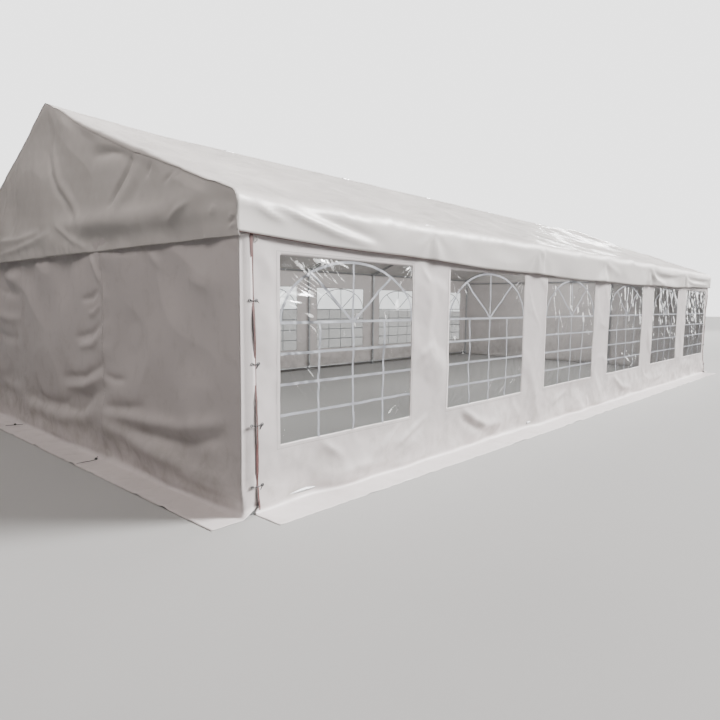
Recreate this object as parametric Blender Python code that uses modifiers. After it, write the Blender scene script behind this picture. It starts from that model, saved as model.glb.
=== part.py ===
"""A white PVC marquee tent, 12 m long and 6 m wide, on a steel tube frame, as separate named solids.

Metres, +Z up. The origin is on the ground at the middle of the tent. X runs along the tent and Y across it.
The front is at -Y and the left end at -X. The coated cloth is 3.4 mm thick here, and the tubes are solid rods.
"""

import math

import bmesh
import bpy
from mathutils import Matrix, Vector

# Driving dimensions of the tent
LENGTH = 12.0
WIDTH = 6.0
BAYS = 6
BAY = LENGTH / BAYS
RIDGE_TOP = 3.2
PITCH = math.radians(20.5)
EAVE_BEND = 0.08
EAVE_HEM = 0.02
ROOF_OVERHANG = 0.04
VALANCE_OUT = 0.03
VALANCE_BOTTOM = 1.785
GABLE_VALANCE_BOTTOM = 1.81
WALL_TOP = 2.045
CLOTH = 0.0034
SEAT_GAP = 0.0003

# Steel tubes and their fittings
TUBE_SIDES = 8
MAIN_RADIUS = 0.025
SLEEVE_RADIUS = 0.028
HUB_RADIUS = 0.032
PURLIN_RADIUS = 0.019
HUB_HALF = 0.06
SLEEVE_LENGTH = 0.16
IN_HUB = 0.004
POST_TURN = math.radians(10)
RAFTER_TURN = math.radians(5)
SLEEVE_TURN = math.radians(17)
FOOT_PLATE = 0.14
FOOT_THICK = 0.006
BASE_RAIL_HEIGHT = 0.06
MID_PURLIN_Y = 1.5
CROSSBAR_HEIGHT = 1.97
DOOR_HALF = 1.0

# Windows, slits, flaps and ties
WINDOW_WIDTH = 1.43
WINDOW_BOTTOM = 0.433
WINDOW_TOP = 1.709
WINDOW_SHIFT = 0.03
FILM = 0.002
FILM_LAP = 0.025
CORNER_RETURN = 0.09
SLIT = 0.002
PANEL_GAP = 0.001
FLAP_WIDTH = 0.265
SIDE_FLAP_HALF = 5.99
GABLE_FLAP_HALF = 3.04
TIE_RADIUS = 0.003

# Places that follow from them
HALF_LENGTH = LENGTH / 2
HALF_WIDTH = WIDTH / 2
SEAT = CLOTH + SEAT_GAP
AXIS_INSET = SEAT + HUB_RADIUS
POST_Y = HALF_WIDTH - AXIS_INSET
END_ARCH_X = HALF_LENGTH - AXIS_INSET
AXIS_RIDGE = RIDGE_TOP - AXIS_INSET / math.cos(PITCH)
RIDGE_BUTT = HUB_RADIUS * math.cos(PITCH) + SEAT_GAP
ROOF_END = HALF_LENGTH + ROOF_OVERHANG
ROOF_SIDE = HALF_WIDTH + VALANCE_OUT
BEND_HEIGHT = RIDGE_TOP - EAVE_BEND / math.cos(PITCH) - math.tan(PITCH) * (ROOF_SIDE - EAVE_BEND)
EAVE_SEAM = BEND_HEIGHT - EAVE_HEM


def clear_scene():
    for obj in list(bpy.data.objects):
        bpy.data.objects.remove(obj, do_unlink=True)


def new_collection(name):
    collection = bpy.data.collections.new(name)
    bpy.context.scene.collection.children.link(collection)
    return collection


def make_material(name, colour, roughness, metallic=0.0, alpha=1.0):
    material = bpy.data.materials.new(name)
    material.use_nodes = True
    shader = material.node_tree.nodes["Principled BSDF"]
    shader.inputs["Base Color"].default_value = (*colour, 1.0)
    shader.inputs["Roughness"].default_value = roughness
    shader.inputs["Metallic"].default_value = metallic
    shader.inputs["Alpha"].default_value = alpha
    material.diffuse_color = (*colour, alpha)
    return material


def place(name, data, material, collection):
    obj = bpy.data.objects.new(name, data)
    if not data.materials:
        data.materials.append(material)
    collection.objects.link(obj)
    return obj


def mesh_from(name, bm):
    mesh = bpy.data.meshes.new(name)
    bm.to_mesh(mesh)
    bm.free()
    return mesh


def rod(start, end, radius, short=0.0, turn=0.0):
    """A solid round bar from start towards end, which it stops short of, as a bmesh.

    turn is how far its flats are turned about its own line.
    """
    start = Vector(start)
    end = Vector(end)
    end -= (end - start).normalized() * short
    along = end - start
    lie = along.to_track_quat("Z", "Y").to_matrix().to_4x4() @ Matrix.Rotation(turn, 4, "Z")
    bm = bmesh.new()
    bmesh.ops.create_cone(
        bm,
        cap_ends=True,
        segments=TUBE_SIDES,
        radius1=radius,
        radius2=radius,
        depth=along.length,
        matrix=Matrix.Translation((start + end) / 2) @ lie,
    )
    return bm


def block(low, high):
    """A box between two corners, as a bmesh."""
    low = Vector(low)
    high = Vector(high)
    bm = bmesh.new()
    bmesh.ops.create_cube(
        bm,
        size=1.0,
        matrix=Matrix.Translation((low + high) / 2) @ Matrix.Diagonal((*(high - low), 1.0)),
    )
    return bm


def fuse(name, shapes, holes):
    """One mesh: the shapes joined to the first one, less the holes."""
    scratch = [bpy.data.objects.new(name, mesh_from(name, bm)) for bm in (*shapes, *holes)]
    for obj in scratch:
        bpy.context.scene.collection.objects.link(obj)
    body = scratch[0]
    for number, other in enumerate(scratch[1:], 1):
        step = body.modifiers.new("step", "BOOLEAN")
        step.operation = "UNION" if number < len(shapes) else "DIFFERENCE"
        step.solver = "EXACT"
        step.object = other
    bpy.context.view_layer.update()
    seen = body.evaluated_get(bpy.context.evaluated_depsgraph_get())
    mesh = bpy.data.meshes.new_from_object(seen)
    mesh.name = name
    for obj in scratch:
        bpy.data.objects.remove(obj, do_unlink=True)
    return mesh


def rafter_height(y):
    """The height of the rafters' centreline at y."""
    return AXIS_RIDGE - math.tan(PITCH) * abs(y)


def hub_reach(side):
    """How far the hubs of an arch run to the left and to the right: an end arch stops at its gable wall."""
    left = HUB_RADIUS if side < 0 else HUB_HALF
    right = HUB_RADIUS if side > 0 else HUB_HALF
    return left, right


def half_arch_mesh(side, way):
    """A post on its foot plate and the rafter over it, with the hubs that the purlins run through.

    side is -1 at the left gable, 1 at the right one and 0 between them, and the arch stands at X = 0.
    way is -1 at the front, whose half holds the ridge hub, and 1 at the back, whose rafter butts against it.
    """
    left, right = hub_reach(side)
    eave = rafter_height(POST_Y)
    down = Vector((0.0, way * math.cos(PITCH), -math.sin(PITCH)))
    ridge = Vector((0.0, 0.0, AXIS_RIDGE))
    purlins = [
        (way * POST_Y, eave, 0.0),
        (way * POST_Y, BASE_RAIL_HEIGHT, 0.0),
        (way * MID_PURLIN_Y, rafter_height(MID_PURLIN_Y), -way * PITCH),
    ]
    if way < 0:
        purlins.insert(0, (0.0, AXIS_RIDGE, 0.0))
    else:
        ridge += down * (RIDGE_BUTT - IN_HUB / 2)
    top = Vector((0.0, way * POST_Y, eave))
    foot = Vector((0.0, way * POST_Y, FOOT_THICK / 2))
    collar = top - Vector((0.0, 0.0, SLEEVE_LENGTH))
    bars = [
        rod(foot, top, MAIN_RADIUS, IN_HUB, POST_TURN),
        rod(collar, top, SLEEVE_RADIUS, 2 * IN_HUB, SLEEVE_TURN),
        rod(ridge + down * IN_HUB / 2, top, MAIN_RADIUS, IN_HUB, RAFTER_TURN),
        rod(top - down * SLEEVE_LENGTH, top, SLEEVE_RADIUS, 3 * IN_HUB, SLEEVE_TURN),
        rod(ridge + down * SLEEVE_LENGTH, ridge, SLEEVE_RADIUS, 2 * IN_HUB, SLEEVE_TURN),
    ]
    near, far = sorted((way * (POST_Y + HUB_RADIUS - FOOT_PLATE), way * (POST_Y + HUB_RADIUS)))
    plate_left = {-1: -HUB_RADIUS, 0: -FOOT_PLATE / 2, 1: HUB_RADIUS - FOOT_PLATE}[side]
    plate = block((plate_left, near, 0.0), (plate_left + FOOT_PLATE, far, FOOT_THICK))
    hubs = []
    holes = []
    for y, z, turn in purlins:
        hubs.append(rod((-left, y, z), (right, y, z), HUB_RADIUS, turn=turn))
        holes.append(rod((-LENGTH, y, z), (LENGTH, y, z), PURLIN_RADIUS + SEAT_GAP, turn=turn))
    return fuse("half_arch", [*hubs, *bars, plate], holes)


def add_arches(material, collection):
    for half, way in (("front", -1), ("back", 1)):
        meshes = {side: half_arch_mesh(side, way) for side in (-1, 0, 1)}
        for number in range(BAYS + 1):
            side = {0: -1, BAYS: 1}.get(number, 0)
            arch = place(f"arch_frame_{number + 1}_{half}", meshes[side], material, collection)
            arch.location.x = side * END_ARCH_X if side else number * BAY - HALF_LENGTH


def add_purlins(material, collection):
    """The tubes along the tent. Each runs through the hubs of all seven arches."""
    reach = END_ARCH_X + PURLIN_RADIUS
    eave = rafter_height(POST_Y)
    middle = rafter_height(MID_PURLIN_Y)
    places = {
        "ridge_purlin": (0.0, AXIS_RIDGE, 0.0),
        "mid_purlin_front": (-MID_PURLIN_Y, middle, PITCH),
        "mid_purlin_back": (MID_PURLIN_Y, middle, -PITCH),
        "eave_purlin_front": (-POST_Y, eave, 0.0),
        "eave_purlin_back": (POST_Y, eave, 0.0),
        "base_rail_front": (-POST_Y, BASE_RAIL_HEIGHT, 0.0),
        "base_rail_back": (POST_Y, BASE_RAIL_HEIGHT, 0.0),
    }
    for name, (y, z, turn) in places.items():
        mesh = mesh_from(name, rod((-reach, y, z), (reach, y, z), PURLIN_RADIUS, turn=turn))
        place(name, mesh, material, collection)


def add_gable_frames(material, collection):
    """A crossbar at the eaves with the two door posts under it, in the plane of each end arch."""
    reach = POST_Y - SLEEVE_RADIUS - SEAT_GAP
    shapes = []
    plate = FOOT_PLATE / 2
    for way in (-1, 1):
        y = way * DOOR_HALF
        shapes.append(
            rod((0, y - HUB_HALF, CROSSBAR_HEIGHT), (0, y + HUB_HALF, CROSSBAR_HEIGHT), HUB_RADIUS)
        )
    shapes.append(rod((0, -reach, CROSSBAR_HEIGHT), (0, reach, CROSSBAR_HEIGHT), PURLIN_RADIUS))
    for way in (-1, 1):
        y = way * DOOR_HALF
        shapes.append(rod((0, y, FOOT_THICK / 2), (0, y, CROSSBAR_HEIGHT), MAIN_RADIUS, IN_HUB, POST_TURN))
        shapes.append(block((-HUB_RADIUS, y - plate, 0), (FOOT_PLATE - HUB_RADIUS, y + plate, FOOT_THICK)))
    mesh = fuse("gable_frame", shapes, [])
    left = place("gable_frame_left", mesh, material, collection)
    left.location.x = -END_ARCH_X
    right = place("gable_frame_right", mesh, material, collection)
    right.location.x = END_ARCH_X
    right.rotation_euler.z = math.pi


def roof_half(inset):
    """The roof's line from the ridge to the front eave's bend, as (y, z), moved inwards by inset."""
    bend = EAVE_BEND - inset
    centre = -ROOF_SIDE + EAVE_BEND
    points = [(0.0, RIDGE_TOP - inset / math.cos(PITCH))]
    steps = 4
    for step in range(steps + 1):
        angle = math.pi / 2 + PITCH + (math.pi / 2 - PITCH) * step / steps
        points.append((centre + bend * math.cos(angle), BEND_HEIGHT + bend * math.sin(angle)))
    return points


def mirrored(half):
    """A whole line across the tent from its front half, which starts at the ridge."""
    return [*reversed(half), *[(-y, z) for y, z in half[1:]]]


def sheet_from_line(name, line, move, material, collection):
    """A bent sheet: an open line swept by move, given the cloth's thickness on its inner side."""
    bm = bmesh.new()
    verts = [bm.verts.new(point) for point in line]
    edges = [bm.edges.new(pair) for pair in zip(verts, verts[1:])]
    swept = bmesh.ops.extrude_edge_only(bm, edges=edges)
    moved = [item for item in swept["geom"] if isinstance(item, bmesh.types.BMVert)]
    bmesh.ops.translate(bm, verts=moved, vec=move)
    obj = place(name, mesh_from(name, bm), material, collection)
    wall = obj.modifiers.new("thickness", "SOLIDIFY")
    wall.thickness = CLOTH
    wall.offset = -1.0
    wall.use_even_offset = True
    return obj


def add_roof_cover(material, collection):
    """Both slopes with their rounded eaves, and the valances sewn on under them."""
    line = [(-ROOF_END, y, z) for y, z in mirrored([*roof_half(0.0), (-ROOF_SIDE, EAVE_SEAM)])]
    sheet_from_line("roof_cover", line, (2 * ROOF_END, 0.0, 0.0), material, collection)
    for side, way in (("front", -1), ("back", 1)):
        near, far = sorted((way * ROOF_SIDE, way * (ROOF_SIDE - CLOTH)))
        name = f"valance_{side}"
        strip = block((-ROOF_END, near, VALANCE_BOTTOM), (ROOF_END, far, EAVE_SEAM - SEAT_GAP))
        place(name, mesh_from(name, strip), material, collection)


def flat_outline(name, outlines, thickness, material, collection):
    """A flat sheet from closed outlines in its own XY plane, the first one its edge and the others holes."""
    curve = bpy.data.curves.new(name, "CURVE")
    curve.dimensions = "2D"
    curve.fill_mode = "BOTH"
    curve.extrude = thickness / 2
    for outline in outlines:
        spline = curve.splines.new("POLY")
        spline.points.add(len(outline) - 1)
        for point, (x, y) in zip(spline.points, outline):
            point.co = (x, y, 0.0, 1.0)
        spline.use_cyclic_u = True
    return place(name, curve, material, collection)


def rectangle(left, right, bottom, top):
    return [(left, bottom), (right, bottom), (right, top), (left, top)]


def add_gable_sheets(material, collection):
    """The triangle with its valance at each end, hung under the ends of the roof."""
    outline = mirrored([*roof_half(SEAT), (SEAT - ROOF_SIDE, GABLE_VALANCE_BOTTOM)])
    for name, way in (("gable_sheet_left", -1), ("gable_sheet_right", 1)):
        sheet = flat_outline(name, [outline], CLOTH, material, collection)
        sheet.rotation_euler = (math.pi / 2, 0.0, math.pi / 2)
        sheet.location.x = way * (ROOF_END - CLOTH / 2)


def window_centres(way):
    """The windows' middles along X. The back wall is the front one turned round."""
    return [-way * WINDOW_SHIFT + (number + 0.5) * BAY - HALF_LENGTH for number in range(BAYS)]


def add_side_walls(material, collection):
    reach = HALF_LENGTH - CORNER_RETURN - SLIT / 2
    half = WINDOW_WIDTH / 2
    for name, way in (("side_wall_front", -1), ("side_wall_back", 1)):
        outlines = [rectangle(-reach, reach, 0.0, WALL_TOP)]
        for x in window_centres(way):
            outlines.append(rectangle(x - half, x + half, WINDOW_BOTTOM, WINDOW_TOP))
        wall = flat_outline(name, outlines, CLOTH, material, collection)
        wall.rotation_euler.x = math.pi / 2
        wall.location.y = way * (HALF_WIDTH - CLOTH / 2)


def add_windows(material, collection):
    """Sheets of clear film, lapped onto the inner side of the wall round each cut-out."""
    half = WINDOW_WIDTH / 2 + FILM_LAP
    outer = HALF_WIDTH - SEAT
    for side, way in (("front", -1), ("back", 1)):
        near, far = sorted((way * outer, way * (outer - FILM)))
        for number, x in enumerate(window_centres(way), 1):
            low = (x - half, near, WINDOW_BOTTOM - FILM_LAP)
            high = (x + half, far, WINDOW_TOP + FILM_LAP)
            name = f"window_{side}_{number}"
            place(name, mesh_from(name, block(low, high)), material, collection)


def add_gable_walls(material, collection):
    """Three panels at each end: a roll-up door in the middle, and two that turn the corners to the slits."""
    turn_end = HALF_LENGTH - CORNER_RETURN + SLIT / 2
    rise = (0.0, 0.0, WALL_TOP)
    outer = HALF_LENGTH
    inner = HALF_LENGTH - CLOTH
    for end, way_x in (("left", -1), ("right", 1)):
        for side, way_y in (("front", -1), ("back", 1)):
            line = [
                (way_x * turn_end, way_y * HALF_WIDTH, 0.0),
                (way_x * outer, way_y * HALF_WIDTH, 0.0),
                (way_x * outer, way_y * (DOOR_HALF + PANEL_GAP), 0.0),
            ]
            if way_x * way_y < 0:
                line.reverse()
            sheet_from_line(f"gable_wall_{end}_{side}", line, rise, material, collection)
        low_x, high_x = sorted((way_x * inner, way_x * outer))
        name = f"gable_door_{end}"
        door = block((low_x, -DOOR_HALF, 0.0), (high_x, DOOR_HALF, WALL_TOP))
        place(name, mesh_from(name, door), material, collection)


def add_ground_flaps(material, collection):
    """The strips of the walls that lie outwards on the ground."""
    for side, way in (("front", -1), ("back", 1)):
        near, far = sorted((way * (HALF_WIDTH + SEAT_GAP), way * (HALF_WIDTH + FLAP_WIDTH)))
        name = f"ground_flap_{side}"
        strip = block((-SIDE_FLAP_HALF, near, 0.0), (SIDE_FLAP_HALF, far, CLOTH))
        place(name, mesh_from(name, strip), material, collection)
    for end, way in (("left", -1), ("right", 1)):
        near, far = sorted((way * (HALF_LENGTH + SEAT_GAP), way * (HALF_LENGTH + FLAP_WIDTH)))
        name = f"ground_flap_{end}"
        strip = block((near, -GABLE_FLAP_HALF, 0.0), (far, GABLE_FLAP_HALF, CLOTH))
        place(name, mesh_from(name, strip), material, collection)


def smooth_route(points, steps):
    """Points along a smooth curve through the route's own points."""
    route = [Vector(point) for point in points]
    padded = [2 * route[0] - route[1], *route, 2 * route[-1] - route[-2]]
    smooth = []
    for a, b, c, d in zip(padded, padded[1:], padded[2:], padded[3:]):
        for step in range(steps):
            t = step / steps
            smooth.append(
                0.5
                * (
                    2 * b
                    + (c - a) * t
                    + (2 * a - 5 * b + 4 * c - d) * t * t
                    + (3 * b - a - 3 * c + d) * t * t * t
                )
            )
    return [*smooth, route[-1]]


def add_door_ties(material, collection):
    """Short cords at the door's two bottom corners, lying out across the flap of each end."""
    lie = CLOTH + SEAT_GAP + TIE_RADIUS
    start = HALF_LENGTH + 3 * SEAT_GAP
    routes = {
        "front": [
            (-start, -0.852, lie),
            (-start - 0.014, -0.852, lie),
            (-start - 0.036, -0.880, lie),
            (-start - 0.066, -0.934, lie),
            (-start - 0.120, -0.955, lie),
            (-start - 0.180, -0.952, lie),
            (-start - 0.245, -0.962, lie),
        ],
        "back": [
            (-start, 1.095, lie),
            (-start - 0.014, 1.095, lie),
            (-start - 0.040, 1.105, lie),
            (-start - 0.085, 1.132, lie),
            (-start - 0.130, 1.138, lie),
            (-start - 0.175, 1.150, lie),
        ],
    }
    for side, points in routes.items():
        for end, turn in (("left", 0.0), ("right", math.pi)):
            far_side = {"front": "back", "back": "front"}[side] if turn else side
            curve = bpy.data.curves.new(f"door_tie_{end}_{far_side}", "CURVE")
            curve.dimensions = "3D"
            curve.bevel_depth = TIE_RADIUS
            curve.bevel_resolution = 2
            curve.use_fill_caps = True
            spline = curve.splines.new("POLY")
            route = smooth_route(points, 3)
            spline.points.add(len(route) - 1)
            for point, co in zip(spline.points, route):
                point.co = (*co, 1.0)
            tie = place(curve.name, curve, material, collection)
            tie.rotation_euler.z = turn


def shade_round_pieces(collection):
    for obj in collection.objects:
        if obj.type == "MESH" and obj.name.startswith(("arch", "ridge", "mid", "eave", "base", "gable_frame")):
            obj.data.shade_smooth()
            obj.data.set_sharp_from_angle(angle=math.radians(40))


def main():
    clear_scene()
    tent = new_collection("marquee_tent")
    steel = make_material("galvanised_steel", (0.40, 0.41, 0.42), 0.45, metallic=0.9)
    roof_cloth = make_material("roof_pvc", (0.62, 0.60, 0.585), 0.32)
    wall_cloth = make_material("wall_pvc", (0.62, 0.60, 0.585), 0.34)
    clear_film = make_material("clear_film", (0.80, 0.83, 0.84), 0.08, alpha=0.3)
    black_cord = make_material("tie_cord", (0.02, 0.02, 0.022), 0.7)
    add_arches(steel, tent)
    add_purlins(steel, tent)
    add_gable_frames(steel, tent)
    add_roof_cover(roof_cloth, tent)
    add_gable_sheets(roof_cloth, tent)
    add_side_walls(wall_cloth, tent)
    add_windows(clear_film, tent)
    add_gable_walls(wall_cloth, tent)
    add_ground_flaps(wall_cloth, tent)
    add_door_ties(black_cord, tent)
    shade_round_pieces(tent)


main()
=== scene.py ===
"""Looks of a white PVC marquee tent: its cloth, clear windows, trim and steel frame, with light and camera.

Metres, +Z up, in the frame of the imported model. X runs along the tent and the front is at -Y.
"""

import itertools
import math

import bmesh
import bpy
import numpy as np
from mathutils import Matrix, Vector


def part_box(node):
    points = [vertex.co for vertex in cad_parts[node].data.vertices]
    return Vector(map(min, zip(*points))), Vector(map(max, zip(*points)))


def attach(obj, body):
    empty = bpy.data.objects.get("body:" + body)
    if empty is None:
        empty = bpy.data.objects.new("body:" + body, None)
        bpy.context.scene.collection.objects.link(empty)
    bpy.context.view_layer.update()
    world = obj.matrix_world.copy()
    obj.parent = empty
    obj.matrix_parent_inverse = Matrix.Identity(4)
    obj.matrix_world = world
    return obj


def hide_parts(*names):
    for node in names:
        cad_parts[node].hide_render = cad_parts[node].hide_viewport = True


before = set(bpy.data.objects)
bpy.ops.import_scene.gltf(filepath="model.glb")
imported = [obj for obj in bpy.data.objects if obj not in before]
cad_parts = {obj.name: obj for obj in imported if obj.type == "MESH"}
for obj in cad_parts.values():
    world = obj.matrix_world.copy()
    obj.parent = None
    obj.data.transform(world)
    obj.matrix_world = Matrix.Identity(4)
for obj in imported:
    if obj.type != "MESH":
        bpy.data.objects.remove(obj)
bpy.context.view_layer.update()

# The tent's main lines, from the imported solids
ROOF_END, ROOF_SIDE, RIDGE_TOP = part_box("roof_cover")[1]
WALL_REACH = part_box("side_wall_front")[1].x
WALL_SIDE = -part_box("side_wall_front")[0].y
WALL_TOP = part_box("side_wall_front")[1].z
GABLE_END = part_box("gable_wall_right_front")[1].x
FLAP_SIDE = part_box("ground_flap_back")[1].y
FLAP_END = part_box("ground_flap_right")[1].x
DOOR_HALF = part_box("gable_door_right")[1].y
GABLE_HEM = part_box("gable_sheet_left")[0].z
PITCH = math.radians(20.5)
EAVE_BEND = 0.11
# Where a gable's triangle ends and its straight-sided valance begins
EAVE_LINE = 2.06
# The outer side of the end arches
END_TUBE = 5.985
BAY = 2.0
INNER_ARCHES = [number * BAY - GABLE_END for number in range(1, 6)]
MID_PURLIN_Y = 1.5
EAVE_PURLIN_Y = 2.94
CROSSBAR_HEIGHT = 1.97
SIDES = (("front", -1), ("back", 1))
ENDS = (("left", -1), ("right", 1))

# Cloth and film
CLOTH = 0.0016
THREAD_PITCH = 0.0022
# The radius of a wall's bend onto its flap, and how far up the wall the flap's rows of points go on
FOOT_BEND = 0.03
FOOT_ROWS = 0.05
# How far past its cut-out a film's solid reaches, and the film that shows
FILM_LAP = 0.025
FILM_WELD = 0.012
GROUND_GAP = 0.0004
PANEL_GAP = 0.001


def add_object(name, data, material=None):
    obj = bpy.data.objects.new(name, data)
    bpy.context.scene.collection.objects.link(obj)
    if material:
        data.materials.append(material)
    return obj


def add_piece(name, data, material):
    """Adds a mesh or a curve as a piece of the tent."""
    piece = add_object(name, data, material)
    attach(piece, "root")
    return piece


def mesh_from(bm, name):
    """Turns a finished bmesh into a smooth-shaded mesh."""
    mesh = bpy.data.meshes.new(name)
    bm.to_mesh(mesh)
    bm.free()
    mesh.shade_smooth()
    return mesh


def place_grid(verts, columns, rows, spots):
    """Puts the points of a new grid, 1 wide and high round 0, at spots[row][column]."""
    for vert in verts:
        column = round((vert.co.x + 0.5) * (columns - 1))
        row = round((vert.co.y + 0.5) * (rows - 1))
        vert.co = spots[row][column]


def flat_sheet(name, across, up, holes=()):
    """A flat grid with lines at the values of across and up, and rectangular holes cut out of it."""
    bm = bmesh.new()
    bmesh.ops.create_grid(bm, x_segments=len(across) - 1, y_segments=len(up) - 1, size=0.5)
    place_grid(bm.verts, len(across), len(up), [[(a, b, 0.0) for a in across] for b in up])
    for left, right, bottom, top in holes:
        cuts = [((x, 0, 0), (1, 0, 0)) for x in (left, right)]
        cuts += [((0, y, 0), (0, 1, 0)) for y in (bottom, top)]
        for place, normal in cuts:
            near = [face for face in bm.faces if left - 0.1 < face.calc_center_median().x < right + 0.1]
            edges = {edge for face in near for edge in face.edges}
            verts = {vert for face in near for vert in face.verts}
            geom = [*verts, *edges, *near]
            bmesh.ops.bisect_plane(bm, geom=geom, plane_co=place, plane_no=normal, dist=0.0005)
        gone = []
        for face in bm.faces:
            middle = face.calc_center_median()
            if left < middle.x < right and bottom < middle.y < top:
                gone.append(face)
        bmesh.ops.delete(bm, geom=gone, context="FACES")
    return mesh_from(bm, name)


def mould(mesh, shape):
    """Moves each point of a flat sheet to where shape(across, up) puts it."""
    flat = np.zeros(len(mesh.vertices) * 3)
    mesh.vertices.foreach_get("co", flat)
    flat = flat.reshape(-1, 3)
    points = np.column_stack(shape(flat[:, 0], flat[:, 1]))
    mesh.vertices.foreach_set("co", points.astype(np.float32).ravel())
    mesh.update()


def add_soft_piece(name, across, up, shape, material, replaced, holes=(), thickness=CLOTH):
    """Cuts a sheet flat, moulds it and adds it in place of the solids named in replaced."""
    mesh = flat_sheet(name, across, up, holes)
    mould(mesh, shape)
    piece = add_piece(name, mesh, material)
    if thickness:
        wall = piece.modifiers.new("thickness", "SOLIDIFY")
        wall.thickness = thickness
        wall.offset = -1.0
    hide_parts(*replaced)
    return piece


def steps(start, end, step):
    """Evenly spaced values from start to end, about step apart."""
    return np.linspace(start, end, max(2, round(abs(end - start) / step) + 1))


def graded(start, end, fine, coarse):
    """Values from start to end whose spacing grows evenly from fine to coarse."""
    count = max(2, round(2 * abs(end - start) / (fine + coarse)))
    t = np.linspace(0, 1, count + 1)
    bow = (fine - coarse) / (fine + coarse)
    return start + (end - start) * (t + bow * t * (1 - t))


def fold(a, b, path, width, height, power=2.0):
    """The rise of one fold along a path of points. It fades at its ends, and a low power makes it crisp."""
    nearest = np.full(np.shape(a), 1e9)
    run = np.zeros(np.shape(a))
    legs = [math.dist(p, q) for p, q in zip(path, path[1:])]
    done = 0.0
    for (p, q), leg in zip(zip(path, path[1:]), legs):
        along = ((a - p[0]) * (q[0] - p[0]) + (b - p[1]) * (q[1] - p[1])) / leg**2
        along = np.clip(along, 0, 1)
        gap = np.hypot(a - p[0] - along * (q[0] - p[0]), b - p[1] - along * (q[1] - p[1]))
        closer = gap < nearest
        nearest = np.where(closer, gap, nearest)
        run = np.where(closer, (done + along * leg) / sum(legs), run)
        done += leg
    fade = np.sqrt(np.sin(np.pi * (0.03 + 0.94 * run)))
    return height * np.exp(-((nearest / width) ** power)) * fade


def folds(a, b, table, strength=1.0):
    """Several folds, each a width, a height, a power and the points of its path."""
    return sum(fold(a, b, path, width, strength * height, power) for width, height, power, path in table)


def waves(a, b, seed, size, height, stretch=1.0, count=20):
    """Soft irregular waves about size long, drawn out along a by stretch."""
    rng = np.random.default_rng(seed)
    total = 0.0
    for _ in range(count):
        turn = rng.uniform(0, 2 * math.pi)
        pace = 2 * math.pi / (size * rng.uniform(0.6, 1.8))
        phase = rng.uniform(0, 2 * math.pi)
        total = total + np.sin(pace * (a * math.cos(turn) / stretch + b * math.sin(turn)) + phase)
    return height * total / math.sqrt(count / 2)


def crumple(a, b, seed, size, height, stretch=1.0):
    """Crisp ridges between soft hollows, as stiff coated cloth keeps from its folding."""
    return height * (1 - 1.6 * np.abs(waves(a, b, seed, size, 1.0, stretch, 14)))


def fan(a, b, pin, aim, spread, count, reach, height, phase=0.0):
    """Folds that spread from a pinched point, most raised at the distance reach."""
    out = np.hypot(a - pin[0], b - pin[1])
    angle = np.arctan2(b - pin[1], a - pin[0]) - aim
    angle = (angle + math.pi) % (2 * math.pi) - math.pi
    window = np.clip(1 - (angle / spread) ** 2, 0, 1)
    return height * window * np.sin(count * angle + phase) * out / reach * np.exp(1 - out / reach)


def smooth(low, high, value):
    """0 below low, 1 above high and an even turn between."""
    t = np.clip((value - low) / (high - low), 0, 1)
    return t * t * (3 - 2 * t)


def bump_at(value, centre, width):
    """1 at the centre, fading out over about the width on both sides."""
    return np.exp(-(((value - centre) / width) ** 2))


def ribbons(name, lines, half_width, place, outward, material, step=0.03, limits=None):
    """Flat strips along lines of (a, b) points. place(a, b, layer) puts them on the cloth under them."""
    bm = bmesh.new()
    for layer, line in enumerate(lines):
        middle = [np.array(line[0])]
        for start, end in zip(line, line[1:]):
            pieces = max(1, round(math.dist(start, end) / step))
            leg = np.subtract(end, start)
            middle += [start + leg * t / pieces for t in range(1, pieces + 1)]
        along = np.gradient(middle, axis=0)
        along /= np.linalg.norm(along, axis=1, keepdims=True)
        aside = half_width * np.column_stack((-along[:, 1], along[:, 0]))
        flat = np.stack([middle + way * aside for way in (1, 0, -1)], axis=1)
        if limits:
            flat = np.clip(flat, *limits)
        spots = np.stack(place(flat[:, :, 0], flat[:, :, 1], layer), axis=-1)
        grid = bmesh.ops.create_grid(bm, x_segments=2, y_segments=len(middle) - 1, size=0.5)
        place_grid(grid["verts"], 3, len(middle), spots)
    bm.normal_update()
    inward = [face for face in bm.faces if face.normal.dot(Vector(outward)) < 0]
    bmesh.ops.reverse_faces(bm, faces=inward)
    return add_piece(name, mesh_from(bm, name), material)


# Materials


def fill(tree, node, inputs):
    """Gives inputs of a node, by name or number, their values: a link for a socket and else a constant."""
    for name, value in inputs.items():
        if isinstance(value, bpy.types.NodeSocket):
            tree.links.new(value, node.inputs[name])
        else:
            node.inputs[name].default_value = value


def add_node(tree, kind, inputs=None, **settings):
    node = tree.nodes.new(kind)
    for name, value in settings.items():
        setattr(node, name, value)
    fill(tree, node, inputs or {})
    return node


def object_place(tree):
    """The place on the piece, in its own metres."""
    return add_node(tree, "ShaderNodeTexCoord").outputs["Object"]


def noise(tree, vector, scale, detail=3.0, roughness=0.5, distortion=0.0):
    inputs = {"Vector": vector, "Scale": scale, "Detail": detail}
    inputs |= {"Roughness": roughness, "Distortion": distortion}
    return add_node(tree, "ShaderNodeTexNoise", inputs).outputs["Fac"]


def ramp(tree, value, low, high, start=0.0, end=1.0):
    """A smooth step of value from low to high, put out between start and end."""
    inputs = {"Value": value, "From Min": low, "From Max": high, "To Min": start, "To Max": end}
    return add_node(tree, "ShaderNodeMapRange", inputs, interpolation_type="SMOOTHSTEP").outputs["Result"]


def maths(tree, operation, first, *others):
    """Joins numbers and sockets, from the first to the last, by one operation."""
    for other in others:
        first = add_node(tree, "ShaderNodeMath", {0: first, 1: other}, operation=operation).outputs[0]
    return first


def times(tree, *factors):
    return maths(tree, "MULTIPLY", *factors)


def plus(tree, *parts):
    return maths(tree, "ADD", *parts)


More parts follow.
